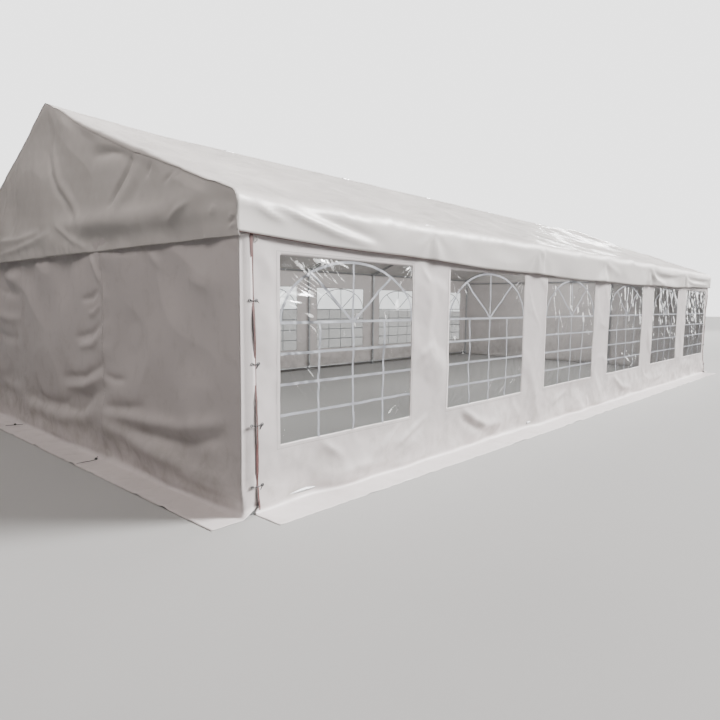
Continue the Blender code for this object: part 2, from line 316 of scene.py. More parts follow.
def blend_colours(tree, share, first, second):
    """A mix of two colours, each a colour or a socket."""
    ends = [(*colour, 1.0) if isinstance(colour, tuple) else colour for colour in (first, second)]
    inputs = {"Factor": share, 6: ends[0], 7: ends[1]}
    return add_node(tree, "ShaderNodeMix", inputs, data_type="RGBA").outputs[2]


def bumped(tree, height, strength):
    """A normal bent by a height in metres."""
    inputs = {"Strength": strength, "Distance": 1.0, "Height": height}
    return add_node(tree, "ShaderNodeBump", inputs).outputs["Normal"]


def mix_to_output(tree, share, first, second, output="Material Output"):
    """Puts out a mix of two shader nodes."""
    mix = add_node(tree, "ShaderNodeMixShader", {0: share, 1: first.outputs[0], 2: second.outputs[0]})
    fill(tree, tree.nodes[output], {"Surface": mix.outputs[0]})


def new_material(name):
    """A new material with its node tree and its main shader."""
    material = bpy.data.materials.new(name)
    material.use_nodes = True
    return material, material.node_tree, material.node_tree.nodes["Principled BSDF"]


def coated_cloth_group():
    """Weave, soft creases, grime and tint of PVC-coated cloth, as a colour, a roughness and a height."""
    group = bpy.data.node_groups.new("coated cloth", "ShaderNodeTree")
    starts = (("Colour", "Color", (0.6, 0.6, 0.6, 1)), ("Grime", "Float", 0.5), ("Gloss", "Float", 0.34))
    for name, kind, start in starts:
        made = group.interface.new_socket(name=name, in_out="INPUT", socket_type=f"NodeSocket{kind}")
        made.default_value = start
    for name, kind in (("Colour", "Color"), ("Roughness", "Float"), ("Height", "Float")):
        group.interface.new_socket(name=name, in_out="OUTPUT", socket_type=f"NodeSocket{kind}")
    given = add_node(group, "NodeGroupInput").outputs
    place = object_place(group)
    parts = add_node(group, "ShaderNodeSeparateXYZ", {0: place}).outputs
    cloud = noise(group, place, 0.9, 4.0, 0.55)
    blotch = noise(group, place, 6.0, 5.0, 0.6, 0.4)
    specks = noise(group, place, 55.0, 4.0, 0.7)
    off_ground = ramp(group, parts["Z"], 0.012, 0.06)
    low = times(group, ramp(group, parts["Z"], 0.1, 0.75, 1.0, 0.0), off_ground)
    splash = times(group, low, ramp(group, blotch, 0.25, 0.68, 0.25, 1.0), 0.75)
    dust = times(group, ramp(group, blotch, 0.48, 0.78), 0.35)
    spots = times(group, ramp(group, specks, 0.62, 0.78), 0.12)
    dirt = times(group, plus(group, splash, dust, spots), given["Grime"])
    shades = {"Color": given["Colour"], "Value": ramp(group, cloud, 0.3, 0.7, 0.95, 1.03)}
    tint = add_node(group, "ShaderNodeHueSaturation", shades).outputs["Color"]
    dull = times(group, dirt, 0.5)
    gloss = plus(group, given["Gloss"], ramp(group, blotch, 0.3, 0.7, -0.05, 0.07), dull)
    soft = times(group, noise(group, place, 7.0, 3.0, 0.5, 0.6), 0.006)
    fine = times(group, noise(group, place, 34.0, 2.0, 0.5), 0.0007)
    threads = []
    for axis in "XYZ":
        line = times(group, parts[axis], 2 * math.pi / THREAD_PITCH)
        threads.append(add_node(group, "ShaderNodeMath", {0: line}, operation="SINE").outputs[0])
    weave = times(group, plus(group, *threads), 0.00002)
    results = {
        "Colour": blend_colours(group, dirt, tint, (0.37, 0.345, 0.325)),
        "Roughness": gloss,
        "Height": plus(group, soft, fine, weave),
    }
    fill(group, add_node(group, "NodeGroupOutput"), results)
    return group


def coated_cloth(name, group, colour, grime, gloss, crease):
    material, tree, shader = new_material(name)
    inputs = {"Colour": (*colour, 1), "Grime": grime, "Gloss": gloss}
    look = add_node(tree, "ShaderNodeGroup", inputs, node_tree=group).outputs
    normal = bumped(tree, look["Height"], crease)
    fill(tree, shader, {"Base Color": look["Colour"], "Roughness": look["Roughness"]})
    fill(tree, shader, {"Normal": normal, "IOR": 1.38})
    return material


def clear_film_material():
    """Glossy, nearly clear PVC film, with faint scuffs: a mirror by Fresnel over a see-through sheet."""
    material, tree, shader = new_material("clear_film")
    place = object_place(tree)
    scuff = noise(tree, place, 9.0, 5.0, 0.6, 0.5)
    normal = bumped(tree, times(tree, noise(tree, place, 9.0, 2.0, 0.5, 0.6), 0.003), 0.5)
    tone = blend_colours(tree, ramp(tree, scuff, 0.4, 0.75), (0.86, 0.87, 0.88), (0.95, 0.95, 0.95))
    rough = ramp(tree, scuff, 0.3, 0.8, 0.04, 0.13)
    fill(tree, shader, {"Base Color": tone, "Roughness": rough, "Normal": normal, "Metallic": 1.0})
    clear = add_node(tree, "ShaderNodeBsdfTransparent", {"Color": (0.80, 0.81, 0.81, 1)})
    # The Fresnel node inverts its index on back faces, so it gets the inverse there
    behind = add_node(tree, "ShaderNodeNewGeometry").outputs["Backfacing"]
    index = ramp(tree, behind, 0.4, 0.6, 1.5, 1 / 1.5)
    mirror = add_node(tree, "ShaderNodeFresnel", {"IOR": index, "Normal": normal}).outputs[0]
    share = maths(tree, "MINIMUM", times(tree, mirror, 2.0), 0.9)
    mix_to_output(tree, share, clear, shader)
    return material


def plain_material(name, colour, roughness, metallic=0.0, spread=0.12, scale=30.0):
    """A solid finish whose colour and roughness vary a little over the surface."""
    material, tree, shader = new_material(name)
    grain = noise(tree, object_place(tree), scale, 5.0, 0.6)
    darker = tuple(part * (1 - spread) for part in colour)
    lighter = tuple(min(1.0, part * (1 + spread)) for part in colour)
    tone = blend_colours(tree, ramp(tree, grain, 0.35, 0.65), darker, lighter)
    rough = ramp(tree, grain, 0.3, 0.7, roughness - 0.06, roughness + 0.08)
    normal = bumped(tree, times(tree, grain, 0.0004), 0.5)
    fill(tree, shader, {"Base Color": tone, "Roughness": rough, "Normal": normal, "Metallic": metallic})
    return material


def galvanised_steel():
    """Zinc-coated tube: a patchwork of dull and bright spangles."""
    material, tree, shader = new_material("galvanised_steel")
    place = object_place(tree)
    spangle = add_node(tree, "ShaderNodeTexVoronoi", {"Scale": 110.0, "Vector": place}).outputs["Color"]
    tone = add_node(tree, "ShaderNodeSeparateColor", {0: spangle}).outputs
    grey = blend_colours(tree, tone["Red"], (0.30, 0.31, 0.32), (0.46, 0.47, 0.48))
    stain = ramp(tree, noise(tree, place, 12.0, 5.0, 0.65), 0.5, 0.75, 0.0, 0.5)
    stained = blend_colours(tree, stain, grey, (0.20, 0.19, 0.18))
    rough = ramp(tree, tone["Green"], 0.0, 1.0, 0.36, 0.55)
    fill(tree, shader, {"Base Color": stained, "Roughness": rough, "Metallic": 0.85})
    return material


CLOTH_LOOK = coated_cloth_group()
ROOF_PVC = coated_cloth("roof_pvc", CLOTH_LOOK, (0.665, 0.635, 0.615), 0.35, 0.36, 0.10)
WALL_PVC = coated_cloth("wall_pvc", CLOTH_LOOK, (0.65, 0.605, 0.60), 0.7, 0.38, 0.12)
FILM = clear_film_material()
BAR_PVC = plain_material("window_bar_pvc", (0.34, 0.352, 0.385), 0.4, spread=0.05)
STEEL = galvanised_steel()
WELD = plain_material("weld_line", (0.36, 0.34, 0.33), 0.4, spread=0.1)
# A grey much darker than the wall's cloth: as the window welds, wall seams and zip edges it paints the shade
# at the step of the welded layers, and the corner loops have it as their own colour
CORD = plain_material("black_cord", (0.02, 0.02, 0.022), 0.7, spread=0.3, scale=400.0)
# Dark red for the valances' hem cords and the corner slits' bindings: it paints the shadow line under each
# hem and the shade in the slits' gaps
DARK_RED_TRIM_AND_SHADE = plain_material("dark_red_trim_and_shade", (0.07, 0.026, 0.025), 0.6, spread=0.3)
EYELET = plain_material("eyelet_metal", (0.10, 0.10, 0.10), 0.4, metallic=0.8)

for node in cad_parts.values():
    if node.data.materials and node.data.materials[0].name.startswith("galvanised"):
        node.data.materials[0] = STEEL


# Roof


def eave_sag(x):
    """The height of the front valance's lower edge along the tent."""
    return 1.722 + 0.0026 * (x - 0.4) ** 2 + 0.006 * np.sin(2.9 * x + 1.0)


def roof_profile(run):
    """Outward place, height and normal of the plain roof, by the distance run from the ridge.

    The last value is the run at which the eave bend ends.
    """
    turn = math.pi / 2 - PITCH
    centre_out = ROOF_SIDE - EAVE_BEND
    contact = centre_out + EAVE_BEND * math.sin(PITCH)
    start = contact / math.cos(PITCH)
    centre_rise = RIDGE_TOP - start * math.sin(PITCH) - EAVE_BEND * math.cos(PITCH)
    angle = np.clip((run - start) / EAVE_BEND, 0, turn)
    bent = run > start
    facing = PITCH + angle
    out = np.where(bent, centre_out + EAVE_BEND * np.sin(facing), run * math.cos(PITCH))
    rise = np.where(bent, centre_rise + EAVE_BEND * np.cos(facing), RIDGE_TOP - run * math.sin(PITCH))
    n_out = np.where(bent, np.sin(facing), math.sin(PITCH))
    n_rise = np.where(bent, np.cos(facing), math.cos(PITCH))
    return out, rise, n_out, n_rise, start + EAVE_BEND * turn


BEND_END = float(roof_profile(np.zeros(1))[4])
EAVE_HEIGHT = float(roof_profile(np.array([BEND_END]))[1][0])
ROOF_RUN = BEND_END + EAVE_HEIGHT - 1.75

# The fold tables give each fold's width, height, power and path. This one's points are places along the tent
# and heights on the front valance
FRONT_EAVE_FOLDS = [
    (0.034, 0.015, 1.7, [(-5.78, 2.07), (-5.51, 1.975), (-5.20, 1.905), (-4.79, 1.84)]),
    (0.045, -0.011, 1.6, [(-5.72, 2.10), (-5.45, 2.02), (-5.10, 1.95), (-4.70, 1.88)]),
    (0.025, 0.010, 1.3, [(-5.90, 2.03), (-5.80, 1.97), (-5.66, 1.93)]),
    (0.024, 0.016, 1.3, [(-1.90, 2.02), (-1.885, 1.88), (-1.88, 1.76)]),
    (0.050, 0.010, 1.6, [(0.02, 1.98), (0.30, 1.91), (0.60, 1.85)]),
    (0.035, 0.020, 1.4, [(2.02, 2.00), (2.12, 1.90), (2.30, 1.83), (2.80, 1.78)]),
    (0.040, 0.014, 1.4, [(2.06, 2.00), (2.50, 1.955), (3.10, 1.950), (3.85, 1.99)]),
    (0.060, -0.016, 1.8, [(2.20, 1.94), (2.60, 1.88), (3.40, 1.88)]),
    (0.035, 0.020, 1.4, [(4.02, 2.00), (4.18, 1.91), (4.60, 1.85), (5.70, 1.85)]),
    (0.040, 0.014, 1.4, [(4.06, 2.00), (4.60, 1.955), (5.20, 1.955), (5.90, 1.98)]),
    (0.060, -0.014, 1.8, [(4.30, 1.93), (4.90, 1.90), (5.60, 1.90)]),
]

# Creases along the front slope, by places along the tent and outward from the ridge
FRONT_ROOF_FOLDS = [
    (0.080, 0.020, 2.0, [(0.90, 1.16), (1.80, 1.25), (3.10, 1.30)]),
    (0.070, 0.017, 2.0, [(0.35, 1.90), (1.20, 1.98), (2.00, 2.06)]),
    (0.070, 0.020, 2.0, [(-2.05, 2.60), (-1.80, 2.70), (-1.30, 2.76)]),
    (0.060, 0.014, 2.0, [(0.60, 2.46), (1.20, 2.60)]),
    (0.055, 0.014, 2.0, [(-0.40, 2.70), (0.20, 2.78)]),
    (0.080, 0.016, 2.0, [(2.60, 0.66), (4.20, 0.62)]),
]


def tube_room(x, out):
    """How far the roof may sink: next to nothing over a rafter or a purlin, more between them."""
    nearest = np.minimum(np.abs(x), END_TUBE - 0.02) / BAY
    from_arch = np.abs(nearest - np.round(nearest)) * BAY
    from_purlin = np.minimum(np.abs(out - MID_PURLIN_Y), np.abs(out - EAVE_PURLIN_Y))
    return 0.0012 + 0.06 * smooth(0.02, 0.30, np.minimum(from_arch, from_purlin))


def roof_lift(x, run, front):
    """How far the roof stands off its plain shape: sag between the tubes, pinches and creases."""
    side = -1 if front else 1
    out = roof_profile(run)[0]
    between_arches = np.sin(math.pi * x / BAY) ** 2
    ridge_half = np.clip(out / MID_PURLIN_Y, 0, 1)
    eave_half = np.clip((out - MID_PURLIN_Y) / (ROOF_SIDE - MID_PURLIN_Y), 0, 1)
    panel = np.where(out < MID_PURLIN_Y, np.sin(math.pi * ridge_half), np.sin(math.pi * eave_half)) ** 2
    lift = -0.028 * between_arches * panel
    lift -= 0.006 * between_arches * smooth(0.15, 0.5, out)
    near_eave = smooth(1.8, 2.9, out)
    lift += waves(x, out, 3 + side, 0.85, 0.006, 0.7)
    lift += crumple(x, out, 11 + side, 0.55, 0.0040, 4.0) * smooth(0.1, 0.5, out)
    if front:
        lift += folds(x, out, FRONT_ROOF_FOLDS)
    down_folds = waves(x, out, 21 + side, 0.30, 0.0038, 0.28, 16)
    lift += down_folds * near_eave * (0.35 + 0.65 * between_arches)
    for place in INNER_ARCHES:
        lift += fan(x, -out, (place, 0.02 - EAVE_PURLIN_Y), math.pi / 2, 1.2, 9, 0.22, 0.006, place)
    return np.maximum(lift, -tube_room(x, out))


def valance_lift(x, height, front):
    """How far the valance stands off its plane, by its height over the ground."""
    side = -1 if front else 1
    drop = np.clip((EAVE_HEIGHT - height) / 0.26, 0, 1)
    hang = waves(x, height, 31 + side, 0.75, 0.008, 1.3, 16) * drop
    hang += crumple(x, height, 41 + side, 0.8, 0.0035, 1.6)
    for number, place in enumerate(INNER_ARCHES):
        pinch = 0.011 if place < 1 else 0.019
        hang += fan(x, height, (place, EAVE_HEIGHT + 0.02), -math.pi / 2, 1.35, 5, 0.16, pinch, number)
    if front:
        hang += folds(x, height, FRONT_EAVE_FOLDS, 1.5)
    return hang


# The drop of the roof's edge over a gable in millimetres, by places outward from the ridge
RAKE_PLACES = [0, 0.3, 0.86, 1.3, 1.73, 1.95, 2.32, 2.78, 3.0]
RAKE_DROPS = [0, 8, 26, 36, 42, 24, 15, 7, 0]


def rake_drop(x, out):
    """The roof's edges over the gables: pulled down at the mid purlin and bowed up on both sides of it."""
    edge = smooth(END_TUBE + 0.015, ROOF_END, np.abs(x))
    drop = np.interp(out, RAKE_PLACES, RAKE_DROPS) / 1000
    peak = np.clip(1 - (ROOF_END - np.abs(x)) / 1.25, 0, 1) ** 1.4 * np.exp(-((out / 0.42) ** 2))
    return 0.052 * peak - drop * edge


def roof_shape(across, up):
    """Places the roof's flat sheet. up runs from the front hem, over the ridge, to the back hem."""
    run = np.abs(ROOF_RUN - up)
    side = np.where(up < ROOF_RUN, -1.0, 1.0)
    out, rise, n_out, n_rise, end = roof_profile(run)
    share = np.clip((run - end) / (ROOF_RUN - end), 0, 1)
    hem = np.where(side < 0, eave_sag(across), 1.735 + 0.0018 * across**2)
    height = np.where(run > end, EAVE_HEIGHT + share * (hem - EAVE_HEIGHT), rise)
    on_slope = 1 - smooth(end - 0.12, end, run)
    lift_front = roof_lift(across, run, True) * on_slope
    lift_back = roof_lift(across, run, False) * on_slope
    lift = np.where(side < 0, lift_front, lift_back)
    hang_front = valance_lift(across, height, True)
    hang_back = valance_lift(across, height, False)
    lift += np.where(side < 0, hang_front, hang_back) * smooth(end - 0.10, end + 0.03, run)
    lift = np.where(run < 0.25, lift * smooth(0.0, 0.25, run) - 0.006, lift)
    ridge_soft = -0.008 * np.exp(-((run / 0.05) ** 2))
    height = height + n_rise * lift + rake_drop(across, out) + ridge_soft
    place = side * (out + n_out * lift)
    return across, place, height


def add_roof():
    bend = ROOF_RUN - BEND_END
    front = [steps(0, bend, 0.024), bend + steps(0, 0.2, 0.022)[1:]]
    slope = graded(bend + 0.2, ROOF_RUN, 0.034, 0.044)[1:]
    back = [steps(0, BEND_END - 0.16, 0.075)[1:], steps(BEND_END - 0.16, ROOF_RUN, 0.036)[1:]]
    up = np.concatenate([*front, slope, *(ROOF_RUN + part for part in back)])
    across = graded(-ROOF_END, ROOF_END, 0.030, 0.056)
    replaced = ("roof_cover", "valance_front", "valance_back")
    roof = add_soft_piece("roof_cloth", across, up, roof_shape, ROOF_PVC, replaced)
    return roof


# How many points the roof's edge is sampled at, and how many heights along it are kept
EDGE_POINTS = 3000
EDGE_SPOTS = 1200


def roof_edge(way):
    """The y and z of points along the roof's edge over a gable, from the front hem to the back hem."""
    runs = np.linspace(0, 2 * ROOF_RUN, EDGE_POINTS)
    return roof_shape(np.full(EDGE_POINTS, way * (ROOF_END - 0.002)), runs)[1:]


ROOF_EDGES = {way: roof_edge(way) for way in (-1, 1)}


def roof_edge_height(y, way):
    """The height just under the roof's edge over the left gable, way -1, or the right gable, way 1."""
    places, heights = ROOF_EDGES[way]
    spots = np.linspace(-ROOF_SIDE, ROOF_SIDE, EDGE_SPOTS)
    nearest = ((places + ROOF_SIDE) / (2 * ROOF_SIDE) * (EDGE_SPOTS - 1)).round().astype(int)
    nearest = np.clip(nearest, 0, EDGE_SPOTS - 1)
    top = np.full(EDGE_SPOTS, GABLE_HEM)
    np.maximum.at(top, nearest, heights)
    return np.interp(y, spots, top) - CLOTH


# Gable sheets

# How far inwards the gable sheets' folds may go
GABLE_ROOM = 0.026

LEFT_GABLE_FOLDS = [
    (0.016, -0.024, 1.2, [(-1.71, 2.54), (-1.60, 2.40), (-1.32, 2.15)]),
    (0.060, 0.016, 2.0, [(-1.78, 2.42), (-1.66, 2.28), (-1.44, 2.12)]),
    (0.060, -0.026, 1.6, [(-1.70, 2.54), (-1.40, 2.57), (-1.01, 2.60)]),
    (0.018, -0.009, 1.3, [(-1.98, 2.42), (-1.88, 2.31)]),
    (0.018, -0.009, 1.3, [(-2.32, 2.31), (-2.16, 2.23)]),
    (0.016, -0.007, 1.3, [(-2.41, 2.28), (-2.33, 2.25)]),
    (0.055, 0.013, 2.0, [(-0.11, 2.78), (-0.30, 2.45), (-0.66, 2.12)]),
    (0.040, -0.010, 1.8, [(0.02, 2.76), (-0.18, 2.42), (-0.52, 2.12)]),
    (0.090, 0.028, 2.0, [(-0.16, 2.09), (-0.80, 2.05), (-1.40, 2.03), (-2.18, 2.02), (-2.57, 2.08)]),
    (0.080, -0.014, 2.0, [(-0.20, 1.98), (-0.90, 1.93), (-1.60, 1.92)]),
    (0.030, 0.013, 1.5, [(-0.16, 2.09), (-0.45, 1.96), (-0.75, 1.86)]),
    (0.050, 0.014, 1.8, [(1.06, 2.80), (1.20, 2.50), (1.44, 2.15)]),
    (0.035, -0.010, 1.6, [(0.87, 2.79), (0.98, 2.50), (1.15, 2.14)]),
    (0.040, 0.016, 1.8, [(1.51, 2.04), (0.90, 2.03), (0.32, 2.06)]),
    (0.035, 0.012, 1.6, [(1.53, 1.89), (0.80, 1.94), (0.00, 2.03)]),
    (0.030, 0.012, 1.5, [(-2.51, 2.06), (-2.36, 2.01), (-2.22, 1.95)]),
    (0.020, 0.008, 1.4, [(-2.78, 2.02), (-2.74, 1.95)]),
    (0.014, 0.007, 1.3, [(-2.97, 1.95), (-2.92, 1.91)]),
    (0.014, 0.007, 1.3, [(-2.97, 1.89), (-2.92, 1.86)]),
    (0.014, -0.006, 1.3, [(-2.97, 1.92), (-2.90, 1.885)]),
]


def gable_lift(y, z, top, left):
    """How far a gable sheet stands off its plane, where the roof's edge over it is at the height top."""
    seed = 50 if left else 60
    free = smooth(0.0, 0.10, top - z)
    lift = waves(y, z, seed, 0.75, 0.009) + crumple(y, z, seed + 1, 0.9, 0.007, 1.3)
    lift += waves(y, z, seed + 2, 0.16, 0.0008)
    hang = smooth(0.0, 0.25, EAVE_LINE - z)
    lift += waves(y, z, seed + 3, 0.30, 0.0028, 0.5) * hang
    if left:
        lift += folds(y, z, LEFT_GABLE_FOLDS, 1.5)
    else:
        for way in (-1, 1):
            lift += fan(y, z, (way * 1.7, 2.53), -math.pi / 2, 1.1, 7, 0.25, 0.010, way)
    tube = bump_at(z, CROSSBAR_HEIGHT, 0.05) * 0.006
    return np.maximum(lift * free, -GABLE_ROOM) + tube * free


def add_gable_sheets():
    width = 2 * (ROOF_SIDE - 0.003)
    for (end, way), step in zip(ENDS, (0.0185, 0.034)):

        def shape(a, share, way=way):
            y = way * a
            top = roof_edge_height(y, way)
            z = GABLE_HEM + share * (top - GABLE_HEM)
            return way * (ROOF_END - 0.004 + gable_lift(y, z, top, way < 0)), y, z

        name = f"gable_cloth_{end}"
        across, up = steps(-width / 2, width / 2, step), steps(0, 1, step / 1.28)
        sheet = add_soft_piece(name, across, up, shape, ROOF_PVC, [f"gable_sheet_{end}"])


# Walls with their ground flaps


def wall_profile(run, flap):
    """Outward place, height and normal of a wall, by the distance run from its flap's outer edge."""
    flat = flap - FOOT_BEND
    turn = np.clip((run - flat) / FOOT_BEND, 0, math.pi / 2)
    arc_end = flat + FOOT_BEND * math.pi / 2
    out = np.where(run < flat, flap - run, FOOT_BEND - FOOT_BEND * np.sin(turn))
    height = FOOT_BEND - FOOT_BEND * np.cos(turn) + np.maximum(run - arc_end, 0)
    return out, height, np.sin(turn), np.cos(turn)


def wall_run(height, flap):
    """The distance from the flap's outer edge to a height on the wall."""
    return flap - FOOT_BEND + FOOT_BEND * math.pi / 2 + height - FOOT_BEND


FRONT_WALL_FOLDS = [
    (0.020, 0.016, 1.3, [(-4.01, 0.40), (-4.20, 0.32), (-4.44, 0.21)]),
    (0.030, -0.012, 1.5, [(-4.05, 0.33), (-4.25, 0.25), (-4.47, 0.16)]),
    (0.018, 0.013, 1.3, [(-4.39, 0.38), (-4.56, 0.27), (-4.70, 0.15)]),
    (0.030, 0.012, 1.6, [(-5.31, 0.40), (-5.20, 0.32), (-5.08, 0.24)]),
    (0.035, 0.014, 1.8, [(-5.13, 0.11), (-4.85, 0.13), (-4.54, 0.10)]),
    (0.040, -0.014, 1.6, [(-3.70, 1.22), (-3.82, 1.12), (-3.95, 1.03)]),
    (0.040, 0.012, 1.6, [(-3.79, 1.15), (-3.95, 1.03), (-4.12, 0.93)]),
    (0.025, 0.010, 1.5, [(-4.12, 1.72), (-4.02, 1.59)]),
    (0.040, 0.018, 1.6, [(-3.43, 0.40), (-3.25, 0.28), (-3.05, 0.18), (-2.70, 0.16)]),
    (0.040, -0.012, 1.6, [(-3.45, 0.32), (-3.25, 0.20), (-3.00, 0.10)]),
    (0.035, 0.015, 1.5, [(-1.02, 0.32), (-1.25, 0.27), (-1.46, 0.21)]),
    (0.030, 0.012, 1.5, [(-0.38, 0.16), (-0.37, 0.07)]),
    (0.040, 0.016, 1.8, [(0.60, 0.36), (0.95, 0.18), (1.40, 0.12)]),
    (0.040, 0.014, 1.8, [(3.30, 0.36), (2.90, 0.20), (2.45, 0.16)]),
]

LEFT_WALL_FOLDS = [
    (0.030, 0.030, 1.5, [(-0.83, 1.78), (-0.90, 1.68), (-0.96, 1.56)]),
    (0.030, -0.026, 1.5, [(-0.60, 1.40), (-0.80, 1.42), (-0.97, 1.51)]),
    (0.026, 0.024, 1.5, [(-0.72, 1.27), (-0.84, 1.29), (-0.97, 1.36)]),
    (0.035, -0.030, 1.5, [(-0.42, 1.05), (-0.75, 1.09), (-1.00, 1.22)]),
    (0.035, 0.026, 1.5, [(-0.48, 0.97), (-0.80, 1.01), (-1.00, 1.12)]),
    (0.040, -0.030, 1.6, [(-0.10, 0.65), (-0.60, 0.70), (-0.99, 0.84)]),
    (0.040, 0.030, 1.6, [(-0.15, 0.56), (-0.60, 0.61), (-0.99, 0.74)]),
    (0.030, -0.022, 1.5, [(-1.04, 0.75), (-1.20, 0.73), (-1.40, 0.75)]),
    (0.030, 0.018, 1.5, [(-2.90, 1.66), (-2.94, 1.46)]),
    (0.050, 0.018, 1.6, [(-2.40, 1.56), (-2.68, 1.49)]),
    (0.040, 0.020, 1.6, [(-1.84, 1.77), (-2.00, 1.65)]),
    (0.060, 0.034, 1.8, [(1.72, 1.70), (1.35, 1.63), (1.06, 1.62)]),
    (0.060, -0.030, 1.8, [(1.74, 1.53), (1.35, 1.47), (1.08, 1.45)]),
    (0.055, 0.030, 1.8, [(1.78, 1.22), (1.40, 1.18), (1.10, 1.19)]),
    (0.055, -0.026, 1.8, [(1.82, 1.00), (1.45, 0.96), (1.18, 0.97)]),
    (0.070, 0.028, 2.0, [(1.80, 0.42), (1.50, 0.39), (1.20, 0.40)]),
    (0.060, -0.040, 1.8, [(0.95, 0.36), (0.17, 0.35), (-0.45, 0.42), (-1.00, 0.62)]),
    (0.070, 0.046, 1.8, [(0.93, 0.25), (0.10, 0.24), (-0.50, 0.29), (-0.97, 0.42)]),
    (0.045, -0.026, 1.8, [(-1.03, 0.48), (-1.30, 0.50), (-1.70, 0.56)]),
    (0.060, 0.044, 1.8, [(-1.05, 0.42), (-1.70, 0.45), (-2.27, 0.48), (-2.85, 0.60)]),
    (0.055, -0.040, 1.8, [(-1.60, 0.35), (-2.27, 0.37), (-2.70, 0.47), (-2.93, 0.58)]),
    (0.065, 0.048, 1.8, [(-1.01, 0.33), (-1.77, 0.24), (-2.49, 0.20), (-2.93, 0.22)]),
    (0.035, 0.020, 1.6, [(-2.20, 0.17), (-2.60, 0.13), (-2.90, 0.13)]),
]


def slit_shift(x, z):
    """How far the corner slits lean, towards the gable at the top and away from it at the foot."""
    lean = 0.022 * z - 0.0355 + 0.003 * np.sin(4.2 * z + 1.0) + 0.0015 * np.sin(11 * z)
    return np.sign(x) * lean


def post_room(x):
    """How far a long wall may go inwards: almost nothing at a post, more between posts."""
    return 0.003 + 0.022 * np.sin(math.pi * x / BAY) ** 2


def side_wall_lift(x, z, front):
    """How far a long wall's cloth stands off its plane, apart from what its windows hold flat."""
    seed = 70 if front else 80
    lift = waves(x, z, seed, 0.9, 0.0065) + crumple(x, z, seed + 1, 0.75, 0.0055)
    lift += waves(x, z, seed + 2, 0.14, 0.0009)
    low = 1 - smooth(0.15, 0.42, z)
    lift += (waves(x, z, seed + 3, 0.5, 0.010, 2.0) + 0.008) * low
    if front:
        lift += folds(x, z, FRONT_WALL_FOLDS, 1.3)
    corner = np.exp(-(WALL_REACH - np.abs(x)) / 0.10)
    lift += corner * waves(x, z, seed + 4, 0.10, 0.004, 2.5) * low
    lift = np.maximum(lift, -post_room(x))
    return lift * (1 - 0.75 * smooth(1.60, 1.75, z))


def window_box(name):
    """Left, right, bottom and top of a window's cut-out."""
    low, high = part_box(name)
    return low.x + FILM_LAP, high.x - FILM_LAP, low.z + FILM_LAP, high.z - FILM_LAP


def edge_calm(x, z, windows):
    """Near 0 at the windows' edges, where the welded film keeps the wall flat, and 1 away from them."""
    calm = np.ones(np.shape(x))
    for left, right, bottom, top in windows:
        gap_x = np.maximum(np.maximum(left - x, x - right), 0)
        gap_z = np.maximum(np.maximum(bottom - z, z - top), 0)
        calm = np.minimum(calm, 0.35 + 0.65 * smooth(0.0, 0.12, np.hypot(gap_x, gap_z)))
    return calm


def window_places(side):
    """The cut-outs of one long wall."""
    return [window_box(f"window_{side}_{number}") for number in range(1, 7)]


def wall_skin(x, z, side):
    """How far a long wall stands off its plane at a place. The films, seams and ties use it too."""
    return side_wall_lift(x, z, side == "front") * edge_calm(x, z, window_places(side))


def flap_lift(a, out, seed, width):
    """How high a flap is off the ground: it ripples most at its outer edge."""
    free = smooth(0.02, width, out)
    lift = np.maximum(waves(a, out, seed, 0.32, 0.0045, 0.8), 0) * free
    return lift + np.maximum(waves(a, out, seed + 1, 0.10, 0.0014), 0) * free


def add_side_walls():
    flap = FLAP_SIDE - WALL_SIDE
    for (side, way), fine, coarse in zip(SIDES, (0.017, 0.045), (0.030, 0.045)):
        windows = window_places(side)
        holes = []
        for left, right, bottom, top in windows:
            holes.append((*sorted((-way * left, -way * right)), wall_run(bottom, flap), wall_run(top, flap)))
        across = graded(-WALL_REACH, WALL_REACH, fine, coarse)
        low = steps(0, flap + FOOT_ROWS, max(fine, 0.016))
        high = steps(flap + FOOT_ROWS, wall_run(WALL_TOP, flap), max(fine, 0.021))

        def shape(a, run, side=side, way=way):
            x = -way * a
            out, z, n_out, n_rise = wall_profile(run, flap)
            lift = wall_skin(x, z, side)
            foot = waves(x, 0 * x, 90 + way, 0.8, 0.010)
            standing = smooth(0.0, 0.06, z)
            sway = foot * (1 - smooth(0.0, 0.12, z)) * (1 - smooth(0.12, flap, out))
            x = x + slit_shift(x, z) * np.exp(-(WALL_REACH - np.abs(x)) / 0.05) * standing
            rise = flap_lift(x, out, 94 + way, flap) * (1 - standing)
            y = way * (WALL_SIDE + out + sway + n_out * lift * standing)
            return x, y, np.maximum(z + rise, 0) + CLOTH + GROUND_GAP

        name = f"side_cloth_{side}"
        up = np.concatenate([low, high[1:]])
        replaced = (f"side_wall_{side}", f"ground_flap_{side}")
        wall = add_soft_piece(name, across, up, shape, WALL_PVC, replaced, holes)


def gable_wall_lift(y, z, left):
    """How far a gable's panels stand off their plane."""
    seed = 100 if left else 110
    lift = waves(y, z, seed, 0.95, 0.010) + crumple(y, z, seed + 1, 0.8, 0.006, 1.5)
    low = 1 - smooth(0.10, 0.5, z)
    lift += (waves(y, z, seed + 3, 0.55, 0.010, 2.2) + 0.010) * low
    for seam in (-DOOR_HALF, DOOR_HALF):
        beside = np.exp(-np.abs(y - seam) / 0.12)
        lift += beside * waves(y, z, seed + 4, 0.16, 0.0025, 1.8)
    if left:
        lift += folds(y, z, LEFT_WALL_FOLDS, 0.75)
    corner = smooth(0.0, 0.35, WALL_SIDE - np.abs(y))
    posts = np.maximum(bump_at(np.abs(y), DOOR_HALF, 0.1), bump_at(np.abs(y), WALL_SIDE, 0.1))
    lift = np.maximum(lift, -0.022 * (1 - posts) - 0.002)
    return lift * (0.15 + 0.85 * corner) * (1 - 0.6 * smooth(1.72, 1.82, z))


